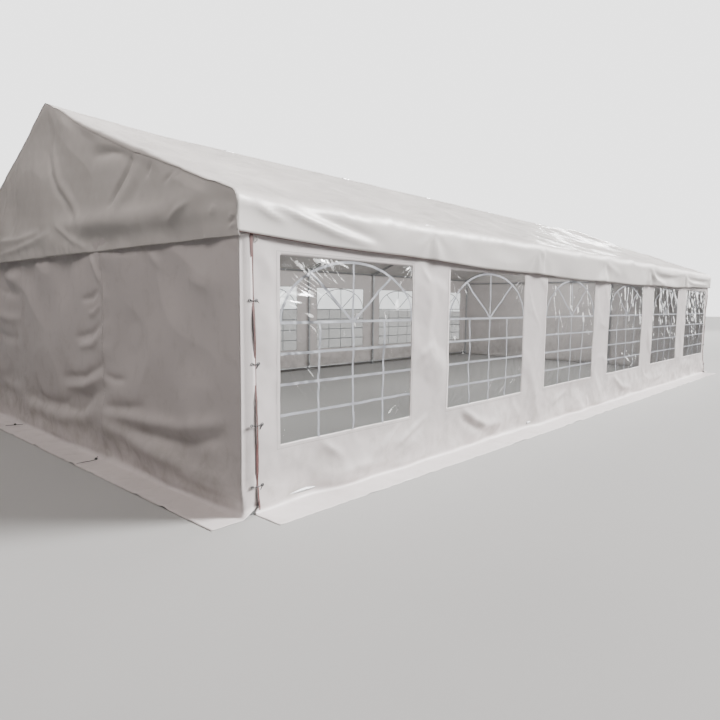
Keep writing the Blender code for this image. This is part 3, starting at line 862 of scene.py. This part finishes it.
def add_gable_walls():
    flap = FLAP_END - GABLE_END
    corner_return = GABLE_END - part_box("gable_wall_right_front")[0].x
    for (end, way), step in zip(ENDS, (0.0195, 0.042)):
        low = steps(0, flap + FOOT_ROWS, step)
        high = steps(flap + FOOT_ROWS, wall_run(WALL_TOP, flap), step)
        up = np.concatenate([low, high[1:]])

        def shape(a, run, way=way):
            reach = way * a
            out, z, n_out, n_rise = wall_profile(run, flap)
            past = np.maximum(np.abs(reach) - WALL_SIDE, 0)
            left_over = np.clip(1 - past / corner_return, 0, 1)
            y = np.clip(reach, -WALL_SIDE, WALL_SIDE)
            standing = smooth(0.0, 0.06, z)
            lift = gable_wall_lift(y, z, way < 0) * standing
            rise = flap_lift(y, out, 120 + way, flap) * (1 - standing)
            before_corner = 1 - smooth(-0.03, 0.03, np.abs(reach) - WALL_SIDE)
            x = way * (GABLE_END + out + n_out * lift * before_corner - past * standing)
            x = x + way * slit_shift(1.0, z) * (1 - left_over) * standing
            rounding = 0.022 * left_over**2 * smooth(0.06, 0.25, z) * (past > 0)
            aside = np.minimum(np.abs(reach), WALL_SIDE) + past * (1 - standing) * 0.45 - rounding
            return x, np.sign(reach) * aside, np.maximum(z + rise, 0) + CLOTH + GROUND_GAP

        front = f"gable_panel_{end}_front", -WALL_SIDE - corner_return, -DOOR_HALF - PANEL_GAP
        middle = f"door_panel_{end}", -DOOR_HALF, DOOR_HALF
        back = f"gable_panel_{end}_back", DOOR_HALF + PANEL_GAP, WALL_SIDE + corner_return
        for name, low_y, high_y in (front, middle, back):
            across = steps(way * low_y, way * high_y, step)
            replaced = [name.replace("panel", "wall")]
            if name.startswith("door"):
                replaced = [f"gable_door_{end}", f"ground_flap_{end}"]
            panel = add_soft_piece(name, across, up, shape, WALL_PVC, replaced)


# Windows

BAR_HALF = 0.0095
# How far behind the wall's cloth the films lie, and how far inwards their folds may go
FILM_INSET = 0.0022
FILM_ROOM = 0.012

FIRST_WINDOW_FOLDS = [
    (0.016, 0.007, 1.6, [(-5.61, 1.71), (-5.45, 1.59), (-5.33, 1.52)]),
    (0.016, 0.007, 1.6, [(-5.53, 1.71), (-5.38, 1.48), (-5.30, 1.43)]),
    (0.016, 0.007, 1.6, [(-5.36, 1.71), (-5.21, 1.55), (-5.09, 1.50)]),
    (0.016, 0.006, 1.6, [(-5.30, 1.70), (-5.12, 1.57), (-5.00, 1.51)]),
    (0.016, 0.006, 1.6, [(-5.20, 1.71), (-5.04, 1.65), (-4.95, 1.58)]),
    (0.030, 0.010, 1.5, [(-5.69, 1.45), (-5.48, 1.44), (-5.24, 1.39)]),
    (0.020, 0.008, 1.5, [(-5.68, 1.41), (-5.49, 1.36), (-5.30, 1.35)]),
    (0.022, 0.009, 1.5, [(-5.66, 1.38), (-5.41, 1.28), (-5.24, 1.12)]),
    (0.020, 0.007, 1.5, [(-5.66, 1.20), (-5.49, 1.11), (-5.35, 1.03)]),
    (0.018, 0.005, 1.5, [(-5.66, 1.11), (-5.50, 0.98), (-5.35, 0.83)]),
    (0.018, 0.005, 1.5, [(-5.65, 0.91), (-5.50, 0.78), (-5.38, 0.62)]),
    (0.018, 0.005, 1.5, [(-5.29, 0.67), (-5.15, 0.56), (-5.01, 0.44)]),
    (0.018, 0.006, 1.5, [(-4.37, 0.59), (-4.47, 0.47)]),
    (0.018, 0.006, 1.5, [(-4.45, 0.55), (-4.54, 0.48)]),
]


# Folds of the farther films, as shares of a window's width and height from its lower left corner
FAR_FILM_FOLDS = {
    2: [
        [(0.04, 0.62), (0.10, 0.50)],
        [(0.45, 0.02), (0.55, 0.16)],
        [(0.62, 0.01), (0.76, 0.14)],
        [(0.80, 0.04), (0.97, 0.25)],
        [(0.05, 0.97), (0.22, 0.80)],
    ],
    3: [
        [(0.05, 0.98), (0.16, 0.70), (0.18, 0.45)],
        [(0.45, 0.95), (0.42, 0.66), (0.34, 0.40)],
        [(0.80, 0.97), (0.86, 0.72), (0.97, 0.55)],
        [(0.20, 0.75), (0.30, 0.58), (0.33, 0.42)],
    ],
    4: [
        [(0.52, 0.97), (0.40, 0.60), (0.40, 0.20), (0.72, 0.04)],
        [(0.66, 0.98), (0.56, 0.62), (0.52, 0.22), (0.84, 0.06)],
        [(0.80, 0.96), (0.72, 0.62), (0.60, 0.30)],
        [(0.90, 0.97), (0.88, 0.66), (0.95, 0.45)],
        [(0.30, 0.90), (0.22, 0.60), (0.20, 0.30)],
        [(0.60, 0.02), (0.90, 0.12)],
    ],
    5: [
        [(0.45, 0.97), (0.62, 0.66), (0.70, 0.40)],
        [(0.60, 0.98), (0.80, 0.64), (0.95, 0.42)],
        [(0.78, 0.97), (0.92, 0.74)],
        [(0.15, 0.95), (0.22, 0.70), (0.20, 0.50)],
        [(0.62, 0.30), (0.90, 0.06)],
    ],
    6: [
        [(0.02, 0.50), (0.45, 0.66), (0.95, 0.92)],
        [(0.05, 0.62), (0.50, 0.78), (0.80, 0.97)],
        [(0.12, 0.05), (0.40, 0.28), (0.78, 0.60)],
        [(0.28, 0.04), (0.55, 0.30), (0.90, 0.55)],
        [(0.50, 0.30), (0.66, 0.48), (0.97, 0.66)],
    ],
}


def film_gathers(x, z, left, top):
    """Fine curved gathers that hang from the first window's top edge."""
    drop = np.maximum(top - z, 0)
    start = x - left - 0.31 * drop - 3.3 * drop**2 + waves(x, z, 260, 0.35, 0.008)
    ridge = 1 - 2 * np.abs(np.sin(math.pi * start / 0.052)) ** 0.8
    reach = 0.37 - 0.32 * np.clip(start / 0.6, 0, 1)
    window = smooth(-0.10, 0.0, start) * (1 - smooth(0.54, 0.62, start))
    return 0.0042 * ridge * window * (1 - smooth(0.65, 1.0, drop / reach))


def first_film_creases(x, z, left, right, bottom, top):
    """The folds and pinches that the photo shows in the window nearest to the left gable."""
    lift = folds(x, z, FIRST_WINDOW_FOLDS, 1.3) + film_gathers(x, z, left, top)
    for pin, aim, spread, count, reach, height in (
        ((left - 0.02, 1.42), -0.45, 0.7, 26, 0.20, 0.0042),
        ((left - 0.02, 1.16), -0.80, 0.5, 34, 0.26, 0.0040),
        ((right + 0.02, top + 0.02), -2.4, 0.6, 22, 0.10, 0.0022),
        ((right + 0.02, bottom - 0.02), 2.3, 0.7, 24, 0.12, 0.0028),
    ):
        lift += fan(x, z, pin, aim, spread, count, reach, height)
    return lift


def far_film_creases(x, z, left, right, bottom, top, number, seed):
    """Pinches at the corners, the window's own folds if it has any, and seven short random ones."""
    rng = np.random.default_rng(seed)
    lift = np.zeros(np.shape(x))
    pins = (left, top), (right, top), (right, bottom), (left, bottom)
    for pin, aim in zip(pins, (-0.8, -2.35, 2.3, 0.85)):
        height = rng.uniform(0.0012, 0.0030)
        reach = rng.uniform(0.10, 0.22)
        lift += fan(x, z, pin, aim, 0.8, rng.uniform(14, 26), reach, height)
    for path in FAR_FILM_FOLDS.get(number, []):
        spots = [(left + a * (right - left), bottom + b * (top - bottom)) for a, b in path]
        lift += fold(x, z, spots, 0.024, 0.0085, 1.8)
    for _ in range(7):
        start = (rng.uniform(left, right), rng.uniform(bottom, top))
        turn = rng.uniform(-1.4, -0.6) if number % 2 else rng.uniform(-1.9, -1.2)
        length = rng.uniform(0.25, 0.6)
        tip = (start[0] + length * math.cos(turn), start[1] + length * math.sin(turn))
        bend = ((start[0] + tip[0]) / 2 + 0.04, (start[1] + tip[1]) / 2 + 0.03)
        lift += fold(x, z, [start, bend, tip], 0.014, rng.uniform(0.0015, 0.0035), 1.6)
    return lift


def film_skin(x, z, side, number):
    """How far a window's film stands off the wall's plane: flat where it is welded on, wavy between."""
    box = left, right, bottom, top = window_box(f"window_{side}_{number}")
    inset = np.minimum(np.minimum(x - left, right - x), np.minimum(z - bottom, top - z))
    seed = 200 + 10 * number + (0 if side == "front" else 5)
    lift = waves(x, z, seed, 0.60, 0.0035) + waves(x, z, seed + 1, 0.22, 0.0015)
    lift += crumple(x, z, seed + 2, 0.45, 0.0020, 0.6)
    if side == "front" and number == 1:
        lift += first_film_creases(x, z, *box)
    else:
        lift += far_film_creases(x, z, *box, number, seed)
    if side == "back":
        lift = 0.3 * lift
    return wall_skin(x, z, side) + np.maximum(lift, -FILM_ROOM) * smooth(-0.012, 0.045, inset)


def bar_lines(left, right, bottom, top):
    """The window's bars as lines of (x, z) points: an arch with a fan in it over a grid of panes."""
    middle, half, height = (left + right) / 2, (right - left) / 2, top - bottom
    spring, rise = top - 0.35 * height, 0.35 * height - 0.008

    def on_arch(angle):
        return middle - half * math.cos(angle), spring + rise * math.sin(angle)

    lines = [[on_arch(math.pi * step / 40) for step in range(41)]]
    for share in (0.35, 0.515, 0.68, 0.845):
        lines.append([(left, top - share * height), (right, top - share * height)])
    lines.append([(middle, bottom), (middle, top)])
    for way in (-1, 1):
        quarter = middle + way * half / 2
        lines.append([(quarter, bottom), (quarter, spring)])
        lines.append([(middle, spring), on_arch(math.radians(90 + way * 38))])
    return lines


def add_bars(side, way, number):
    """Strips of white PVC welded on a film, that follow its waves."""
    left, right, bottom, top = window_box(f"window_{side}_{number}")

    def on_film(x, z, layer):
        off = film_skin(x, z, side, number) + 0.0012 + 0.00012 * layer
        return x, way * (WALL_SIDE + off), z

    name = f"window_bars_{side}_{number}"
    lines = bar_lines(left, right, bottom, top)
    step = 0.015 if side == "front" else 0.05
    limits = (left - 0.005, bottom - 0.005), (right + 0.005, top + 0.005)
    ribbons(name, lines, BAR_HALF, on_film, (0, way, 0), BAR_PVC, step, limits)


def add_windows():
    for side, way in SIDES:
        for number in range(1, 7):
            left, right, bottom, top = window_box(f"window_{side}_{number}")
            step = 0.0053 + 0.002 * number if side == "front" else 0.05
            start, end = sorted((-way * left, -way * right))

            def shape(a, z, side=side, number=number, way=way):
                x = -way * a
                return x, way * (WALL_SIDE + film_skin(x, z, side, number) - FILM_INSET), z

            name = f"window_film_{side}_{number}"
            across = steps(start - FILM_WELD, end + FILM_WELD, step)
            up = steps(bottom - FILM_WELD, top + FILM_WELD, step)
            replaced = [f"window_{side}_{number}"]
            film = add_soft_piece(name, across, up, shape, FILM, replaced, thickness=0)
            add_bars(side, way, number)


# Seams, hems, corner slits and their ties

# How far outside a window's cut-out its weld line runs
WELD_MARGIN = 0.028
WALL_SEAM_X = 2.10
SEAM_FOOT = 0.03
SEAM_TOP = 1.95
BINDING_TOP = 1.84
BINDING_HALF = 0.003
LOOP_HEIGHT = 1.795
EYELET_RADIUS = 0.0092
EYELET_WIRE = 0.0030
LACING_HEIGHTS = (1.41, 1.00, 0.60, 0.19)

# A tie's loose end, as shifts along the wall towards the gable and drops
LONG_TAIL = ((-0.012, 0.010), (-0.022, 0.028), (-0.026, 0.052))
SHORT_TAIL = ((0.010, 0.016), (0.020, 0.030))


def wall_place(side, way, rise):
    """Puts strips on a long wall's cloth, rise metres off it."""
    return lambda x, z, layer: (x, way * (WALL_SIDE + wall_skin(x, z, side) + rise + 0.0001 * layer), z)


def gable_place(way, rise):
    """Puts strips on a gable's panels, rise metres off them."""
    return lambda y, z, layer: (way * (GABLE_END + gable_wall_lift(y, z, way < 0) + rise), y, z)


def add_seams():
    """Weld lines round the windows, the walls' panel seams and the zips beside the gable doors. Their dark
    grey lines paint the shade at the edges of the welded layers.
    """
    for side, way in SIDES:
        lines = []
        for left, right, bottom, top in window_places(side):
            left, bottom = left - WELD_MARGIN, bottom - WELD_MARGIN
            right, top = right + WELD_MARGIN, top + WELD_MARGIN
            corners = [(left, bottom), (right, bottom), (right, top), (left, top)]
            lines += [[corners[n], corners[(n + 1) % 4]] for n in range(4)]
        on_wall = wall_place(side, way, 0.0006)
        ribbons(f"window_welds_{side}", lines, 0.0015, on_wall, (0, way, 0), WELD)
        seam = [[(WALL_SEAM_X, SEAM_FOOT), (WALL_SEAM_X, SEAM_TOP)]]
        ribbons(f"wall_seam_{side}", seam, 0.002, on_wall, (0, way, 0), WELD)
    for end, way in ENDS:
        for side, seam in (("front", -DOOR_HALF), ("back", DOOR_HALF)):
            for name, shift, half, rise, material in (
                (f"zip_cover_{end}_{side}", -0.0005, 0.011, 0.0015, WALL_PVC),
                (f"zip_edge_{end}_{side}_low", -0.012, 0.0013, 0.0019, WELD),
                (f"zip_edge_{end}_{side}_high", 0.012, 0.0013, 0.0019, WELD),
            ):
                line = [(seam + shift, SEAM_FOOT), (seam + shift, SEAM_TOP)]
                ribbons(name, [line], half, gable_place(way, rise), (way, 0, 0), material)


def tube(name, route, radius, material, slot, resolution=3):
    """A thin round cord or piping along a route."""
    curve = bpy.data.curves.new(name, "CURVE")
    curve.dimensions = "3D"
    curve.bevel_depth = radius
    curve.bevel_resolution = resolution
    curve.use_fill_caps = True
    spline = curve.splines.new("POLY")
    spline.points.add(len(route) - 1)
    for point, place in zip(spline.points, route):
        point.co = (*place, 1.0)
    return add_piece(name, curve, material)


def add_hems():
    """A dark red cord along the lower edge of each hanging valance, which paints the thin shadow line under
    its hem.
    """
    x = np.linspace(-ROOF_END + 0.01, ROOF_END - 0.01, 400)
    for (side, way), edge in zip(SIDES, (0.004, ROOF_RUN * 2 - 0.004)):
        hem = np.column_stack(roof_shape(x, np.full(x.shape, edge)))
        route = [(a, b - way * 0.004, c - 0.004) for a, b, c in hem]
        tube(f"valance_shade_cord_{side}", route, 0.0032, DARK_RED_TRIM_AND_SHADE, "roof_pvc", 2)


def add_eyelet(bm, place, outward):
    """A rolled metal ring."""
    turn = Vector((0, 0, 1)).rotation_difference(Vector(outward)).to_matrix().to_4x4()
    circle = bmesh.ops.create_circle(bm, segments=10, radius=EYELET_WIRE)["verts"]
    edges = list({edge for vert in circle for edge in vert.link_edges})
    bmesh.ops.rotate(bm, verts=circle, cent=(0, 0, 0), matrix=Matrix.Rotation(math.pi / 2, 3, "X"))
    bmesh.ops.translate(bm, verts=circle, vec=(EYELET_RADIUS, 0, 0))
    geom = [*circle, *edges]
    turns = {"cent": (0, 0, 0), "axis": (0, 0, 1), "angle": 2 * math.pi, "steps": 18}
    bmesh.ops.spin(bm, geom=geom, use_merge=True, **turns)
    ring = [vert for vert in bm.verts if vert.co.length < 0.02]
    bmesh.ops.transform(bm, verts=ring, matrix=Matrix.Translation(place) @ turn)


def add_lacing(name, end_way, way, centre, skin, height, tail):
    """One black tie through two eyelets, whose places it gives back."""
    high = height > 0.9
    near = centre + end_way * (0.024 if high else 0.044)
    far = centre - end_way * (0.028 if high else 0.040)
    over = skin + way * 0.003
    route = [
        (near, skin - way * 0.004, height),
        (near - end_way * 0.006, over, height + 0.001),
        (centre, over + way * 0.002, height - 0.004),
        (far + end_way * 0.006, over, height + 0.001),
        (far, over, height - 0.002),
    ]
    route += [(far + end_way * shift, over, height - drop) for shift, drop in tail]
    tube(name, smooth_route(route, 4), 0.0030, CORD, "tie_cord", 2)
    return near, far


def add_binding(end, end_way, side, way):
    """The red binding down a corner slit, widest at its top. Its dark colour and its swelling width also
    paint the shade in the slit's open gap.
    """
    heights = np.linspace(BINDING_TOP, SEAM_FOOT, 90)
    x = end_way * WALL_REACH + slit_shift(end_way, heights)
    y = way * (WALL_SIDE + wall_skin(x, heights, side) + 0.0030)
    # Painted shade: the right front binding is drawn wider, and each binding swells near its top and low
    # down, where the slit's gap stands open in shade
    wide = 3.5 if (end, side) == ("right", "front") else 1.0
    half = wide * 0.0062 + 0.0050 * smooth(1.2, 1.8, heights) + 0.004 * bump_at(heights, 0.36, 0.12)

    def on_corner(a, b, layer):
        centre, span, out = (np.interp(b, heights[::-1], values[::-1]) for values in (x, half, y))
        return centre + (a - centre) / BINDING_HALF * span, out, b

    line = [(float(a), float(b)) for a, b in zip(x, heights)]
    name = f"slit_binding_{end}_{side}"
    ribbons(name, [line], BINDING_HALF, on_corner, (0, way, 0), DARK_RED_TRIM_AND_SHADE)


def add_corner_trim():
    """Red binding down each corner slit, which also paints the shade in the slit's gap, with eyelets and
    black ties laced across it.
    """
    for (end, end_way), (side, way) in itertools.product(ENDS, SIDES):
        add_binding(end, end_way, side, way)
        bm = bmesh.new()
        for number, height in enumerate(LACING_HEIGHTS):
            centre = end_way * WALL_REACH + float(slit_shift(end_way, height))
            skin = way * (WALL_SIDE + float(wall_skin(centre, height, side)) + 0.003)
            tail = SHORT_TAIL if number else LONG_TAIL
            name = f"corner_lacing_{end}_{side}_{number}"
            for spot in add_lacing(name, end_way, way, centre, skin, height, tail):
                add_eyelet(bm, (spot, skin + way * 0.0005, height), (0, way, 0))
        bmesh.ops.recalc_face_normals(bm, faces=bm.faces)
        name = f"corner_eyelets_{end}_{side}"
        add_piece(name, mesh_from(bm, name), EYELET)
        x, y = end_way * (WALL_REACH - 0.026), way * (WALL_SIDE + 0.006)
        turns = [2 * math.pi * step / 12 for step in range(13)]
        loop = [(x + end_way * 0.010 * math.sin(t), y, LOOP_HEIGHT + 0.016 * math.cos(t)) for t in turns]
        tube(f"corner_loop_{end}_{side}", loop, 0.0022, WELD, "wall_pvc", 2)


# Door ties

TIE_START = GABLE_END + 0.0009
TIE_LIE = 0.0073

# Places on the flap, as distances from the gable and across the tent
TIE_ROUTES = {
    "front": [
        (0, -0.852),
        (0.014, -0.852),
        (0.036, -0.880),
        (0.066, -0.934),
        (0.120, -0.955),
        (0.180, -0.952),
        (0.245, -0.962),
    ],
    "back": [(0, 1.095), (0.014, 1.095), (0.040, 1.105), (0.085, 1.132), (0.130, 1.138), (0.175, 1.150)],
}


def smooth_route(points, pieces):
    """Points along a smooth curve through the route's own points."""
    route = [Vector(point) for point in points]
    padded = [2 * route[0] - route[1], *route, 2 * route[-1] - route[-2]]
    made = []
    for a, b, c, d in zip(padded, padded[1:], padded[2:], padded[3:]):
        square, cube = 2 * a - 5 * b + 4 * c - d, 3 * b - a - 3 * c + d
        for piece in range(pieces):
            t = piece / pieces
            made.append(0.5 * (2 * b + (c - a) * t + square * t**2 + cube * t**3))
    return [*made, route[-1]]


def add_door_ties():
    """The black cords with toggles on the left gable's flap, and the same turned round to the right gable."""
    turned_sides = {"front": "back", "back": "front"}
    for side, spots in TIE_ROUTES.items():
        points = smooth_route([(-TIE_START - out, y, TIE_LIE) for out, y in spots], 4)
        for end, turn, tie_side in (("left", 1, side), ("right", -1, turned_sides[side])):
            route = [Vector((turn * p.x, turn * p.y, p.z)) for p in points]
            cord = tube(f"door_cord_{end}_{tie_side}", route, 0.003, CORD, "tie_cord")
            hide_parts(f"door_tie_{end}_{tie_side}")
            bm = bmesh.new()
            bmesh.ops.create_uvsphere(bm, u_segments=20, v_segments=12, radius=0.014)
            bmesh.ops.scale(bm, vec=(1.3, 0.9, 0.8), verts=bm.verts)
            bmesh.ops.rotate(bm, verts=bm.verts, cent=(0, 0, 0), matrix=Matrix.Rotation(1.1, 3, "Z"))
            bmesh.ops.translate(bm, vec=route[12] + Vector((0, 0, 0.0055)), verts=bm.verts)
            name = f"cord_toggle_{end}_{tie_side}"
            toggle = add_piece(name, mesh_from(bm, name), CORD)


# Light, floor and camera

CAMERA_PLACE = (-8.186, -6.040, 1.399)
CAMERA_YAW = math.radians(47.29)
CAMERA_PITCH = math.radians(-5.56)
CAMERA_ROLL = math.radians(0.61)
CAMERA_LENS = 29.145


def add_camera():
    along = Vector((math.sin(CAMERA_YAW), math.cos(CAMERA_YAW), 0.0))
    ahead = along * math.cos(CAMERA_PITCH) + Vector((0.0, 0.0, math.sin(CAMERA_PITCH)))
    level = Vector((math.cos(CAMERA_YAW), -math.sin(CAMERA_YAW), 0.0))
    upward = level.cross(ahead)
    right = level * math.cos(CAMERA_ROLL) + upward * math.sin(CAMERA_ROLL)
    up = upward * math.cos(CAMERA_ROLL) - level * math.sin(CAMERA_ROLL)
    data = bpy.data.cameras.new("camera")
    data.sensor_fit = "HORIZONTAL"
    data.sensor_width = 36.0
    data.lens = CAMERA_LENS
    camera = add_object("camera", data)
    camera.matrix_world = Matrix.Translation(CAMERA_PLACE) @ Matrix((right, up, -ahead)).transposed().to_4x4()
    bpy.context.scene.camera = camera


def add_lamp(kind, name, place, target, colour, power, **settings):
    data = bpy.data.lights.new(name, kind)
    data.color = colour
    data.energy = power
    for setting, value in settings.items():
        setattr(data, setting, value)
    lamp = add_object(name, data)
    lamp.location = place
    lamp.rotation_euler = (Vector(target) - Vector(place)).to_track_quat("-Z", "Y").to_euler()
    return lamp


def add_area_light(name, place, target, size, power, colour=(1, 1, 1)):
    sides = {"shape": "RECTANGLE", "size": size[0], "size_y": size[1]}
    add_lamp("AREA", name, place, target, colour, power, **sides).visible_camera = False


def band(tree, value, start, rise, fall, end):
    """1 from rise to fall, with soft edges that reach out to start and end."""
    return times(tree, ramp(tree, value, start, rise), ramp(tree, value, fall, end, 1, 0))


def add_sky():
    """A pale backdrop, dim light from overhead, and a bright sky and window that only reflections show."""
    world = bpy.data.worlds.new("studio")
    bpy.context.scene.world = world
    world.use_nodes = True
    tree = world.node_tree
    parts = add_node(tree, "ShaderNodeTexCoord").outputs["Generated"]
    parts = add_node(tree, "ShaderNodeSeparateXYZ", {0: parts}).outputs
    overhead = ramp(tree, parts["Z"], 0.0, 0.8, 0.05, 0.16)
    cloud = band(tree, parts["Z"], 0.27, 0.36, 0.7, 0.85)
    above_ground = ramp(tree, parts["Z"], -0.12, -0.06)
    window = times(tree, band(tree, parts["X"], -0.34, -0.28, 0.50, 0.54), above_ground)
    strip_fade = ramp(tree, parts["Z"], 0.4, 0.5, 0.5, 0)
    strip = band(tree, parts["Y"], -0.21, -0.18, -0.06, -0.03)
    strip = times(tree, strip, strip_fade, ramp(tree, parts["X"], 0.0, 0.2))
    bright = times(tree, maths(tree, "MAXIMUM", window, strip, cloud), 12.0)
    front = ramp(tree, parts["Y"], -0.25, 0.05, 1, 0)
    paths = add_node(tree, "ShaderNodeLightPath").outputs
    mirrored = times(tree, plus(tree, bright, 0.35), front, paths["Is Glossy Ray"])
    light = tree.nodes["Background"]
    fill(tree, light, {"Color": (1.0, 0.985, 0.965, 1), "Strength": plus(tree, overhead, mirrored)})
    backdrop = add_node(tree, "ShaderNodeBackground", {"Color": (0.93, 0.93, 0.93, 1), "Strength": 3.0})
    mix_to_output(tree, paths["Is Camera Ray"], light, backdrop, "World Output")


def add_surroundings():
    bm = bmesh.new()
    bmesh.ops.create_grid(bm, x_segments=1, y_segments=1, size=90)
    paint = plain_material("floor_paint", (0.30, 0.297, 0.293), 0.75, spread=0.02, scale=0.6)
    tree = paint.node_tree
    # The floor throws less light on the tent than its pale look would
    bounce = add_node(tree, "ShaderNodeBsdfDiffuse", {"Color": (0.15, 0.148, 0.146, 1)})
    seen = add_node(tree, "ShaderNodeLightPath").outputs["Is Camera Ray"]
    mix_to_output(tree, seen, bounce, tree.nodes["Principled BSDF"])
    floor = add_object("floor", mesh_from(bm, "floor"), paint)
    add_sky()
    add_lamp("SUN", "front_light", (14, -9.5, 12), (0, 0, 0), (1, 0.985, 0.975), 11.2, angle=math.radians(22))
    add_area_light("over_gable", (-10.2, -2.2, 9.2), (-6, -0.5, 1.6), (3.0, 3.5), 455, (1, 0.91, 0.86))
    add_area_light("far_strip", (30, 9, 8.5), (2, -2, 2), (5, 1.2), 3600)
    for x in (-4, 0, 4):
        add_area_light("inside_light", (x, -0.5, 2.35), (x, 0.8, 0), (2.5, 2.0), 105, (1, 0.985, 0.96))


add_camera()
add_door_ties()
roof = add_roof()
add_gable_sheets()
add_side_walls()
add_gable_walls()
add_windows()
add_seams()
add_hems()
add_corner_trim()
add_surroundings()
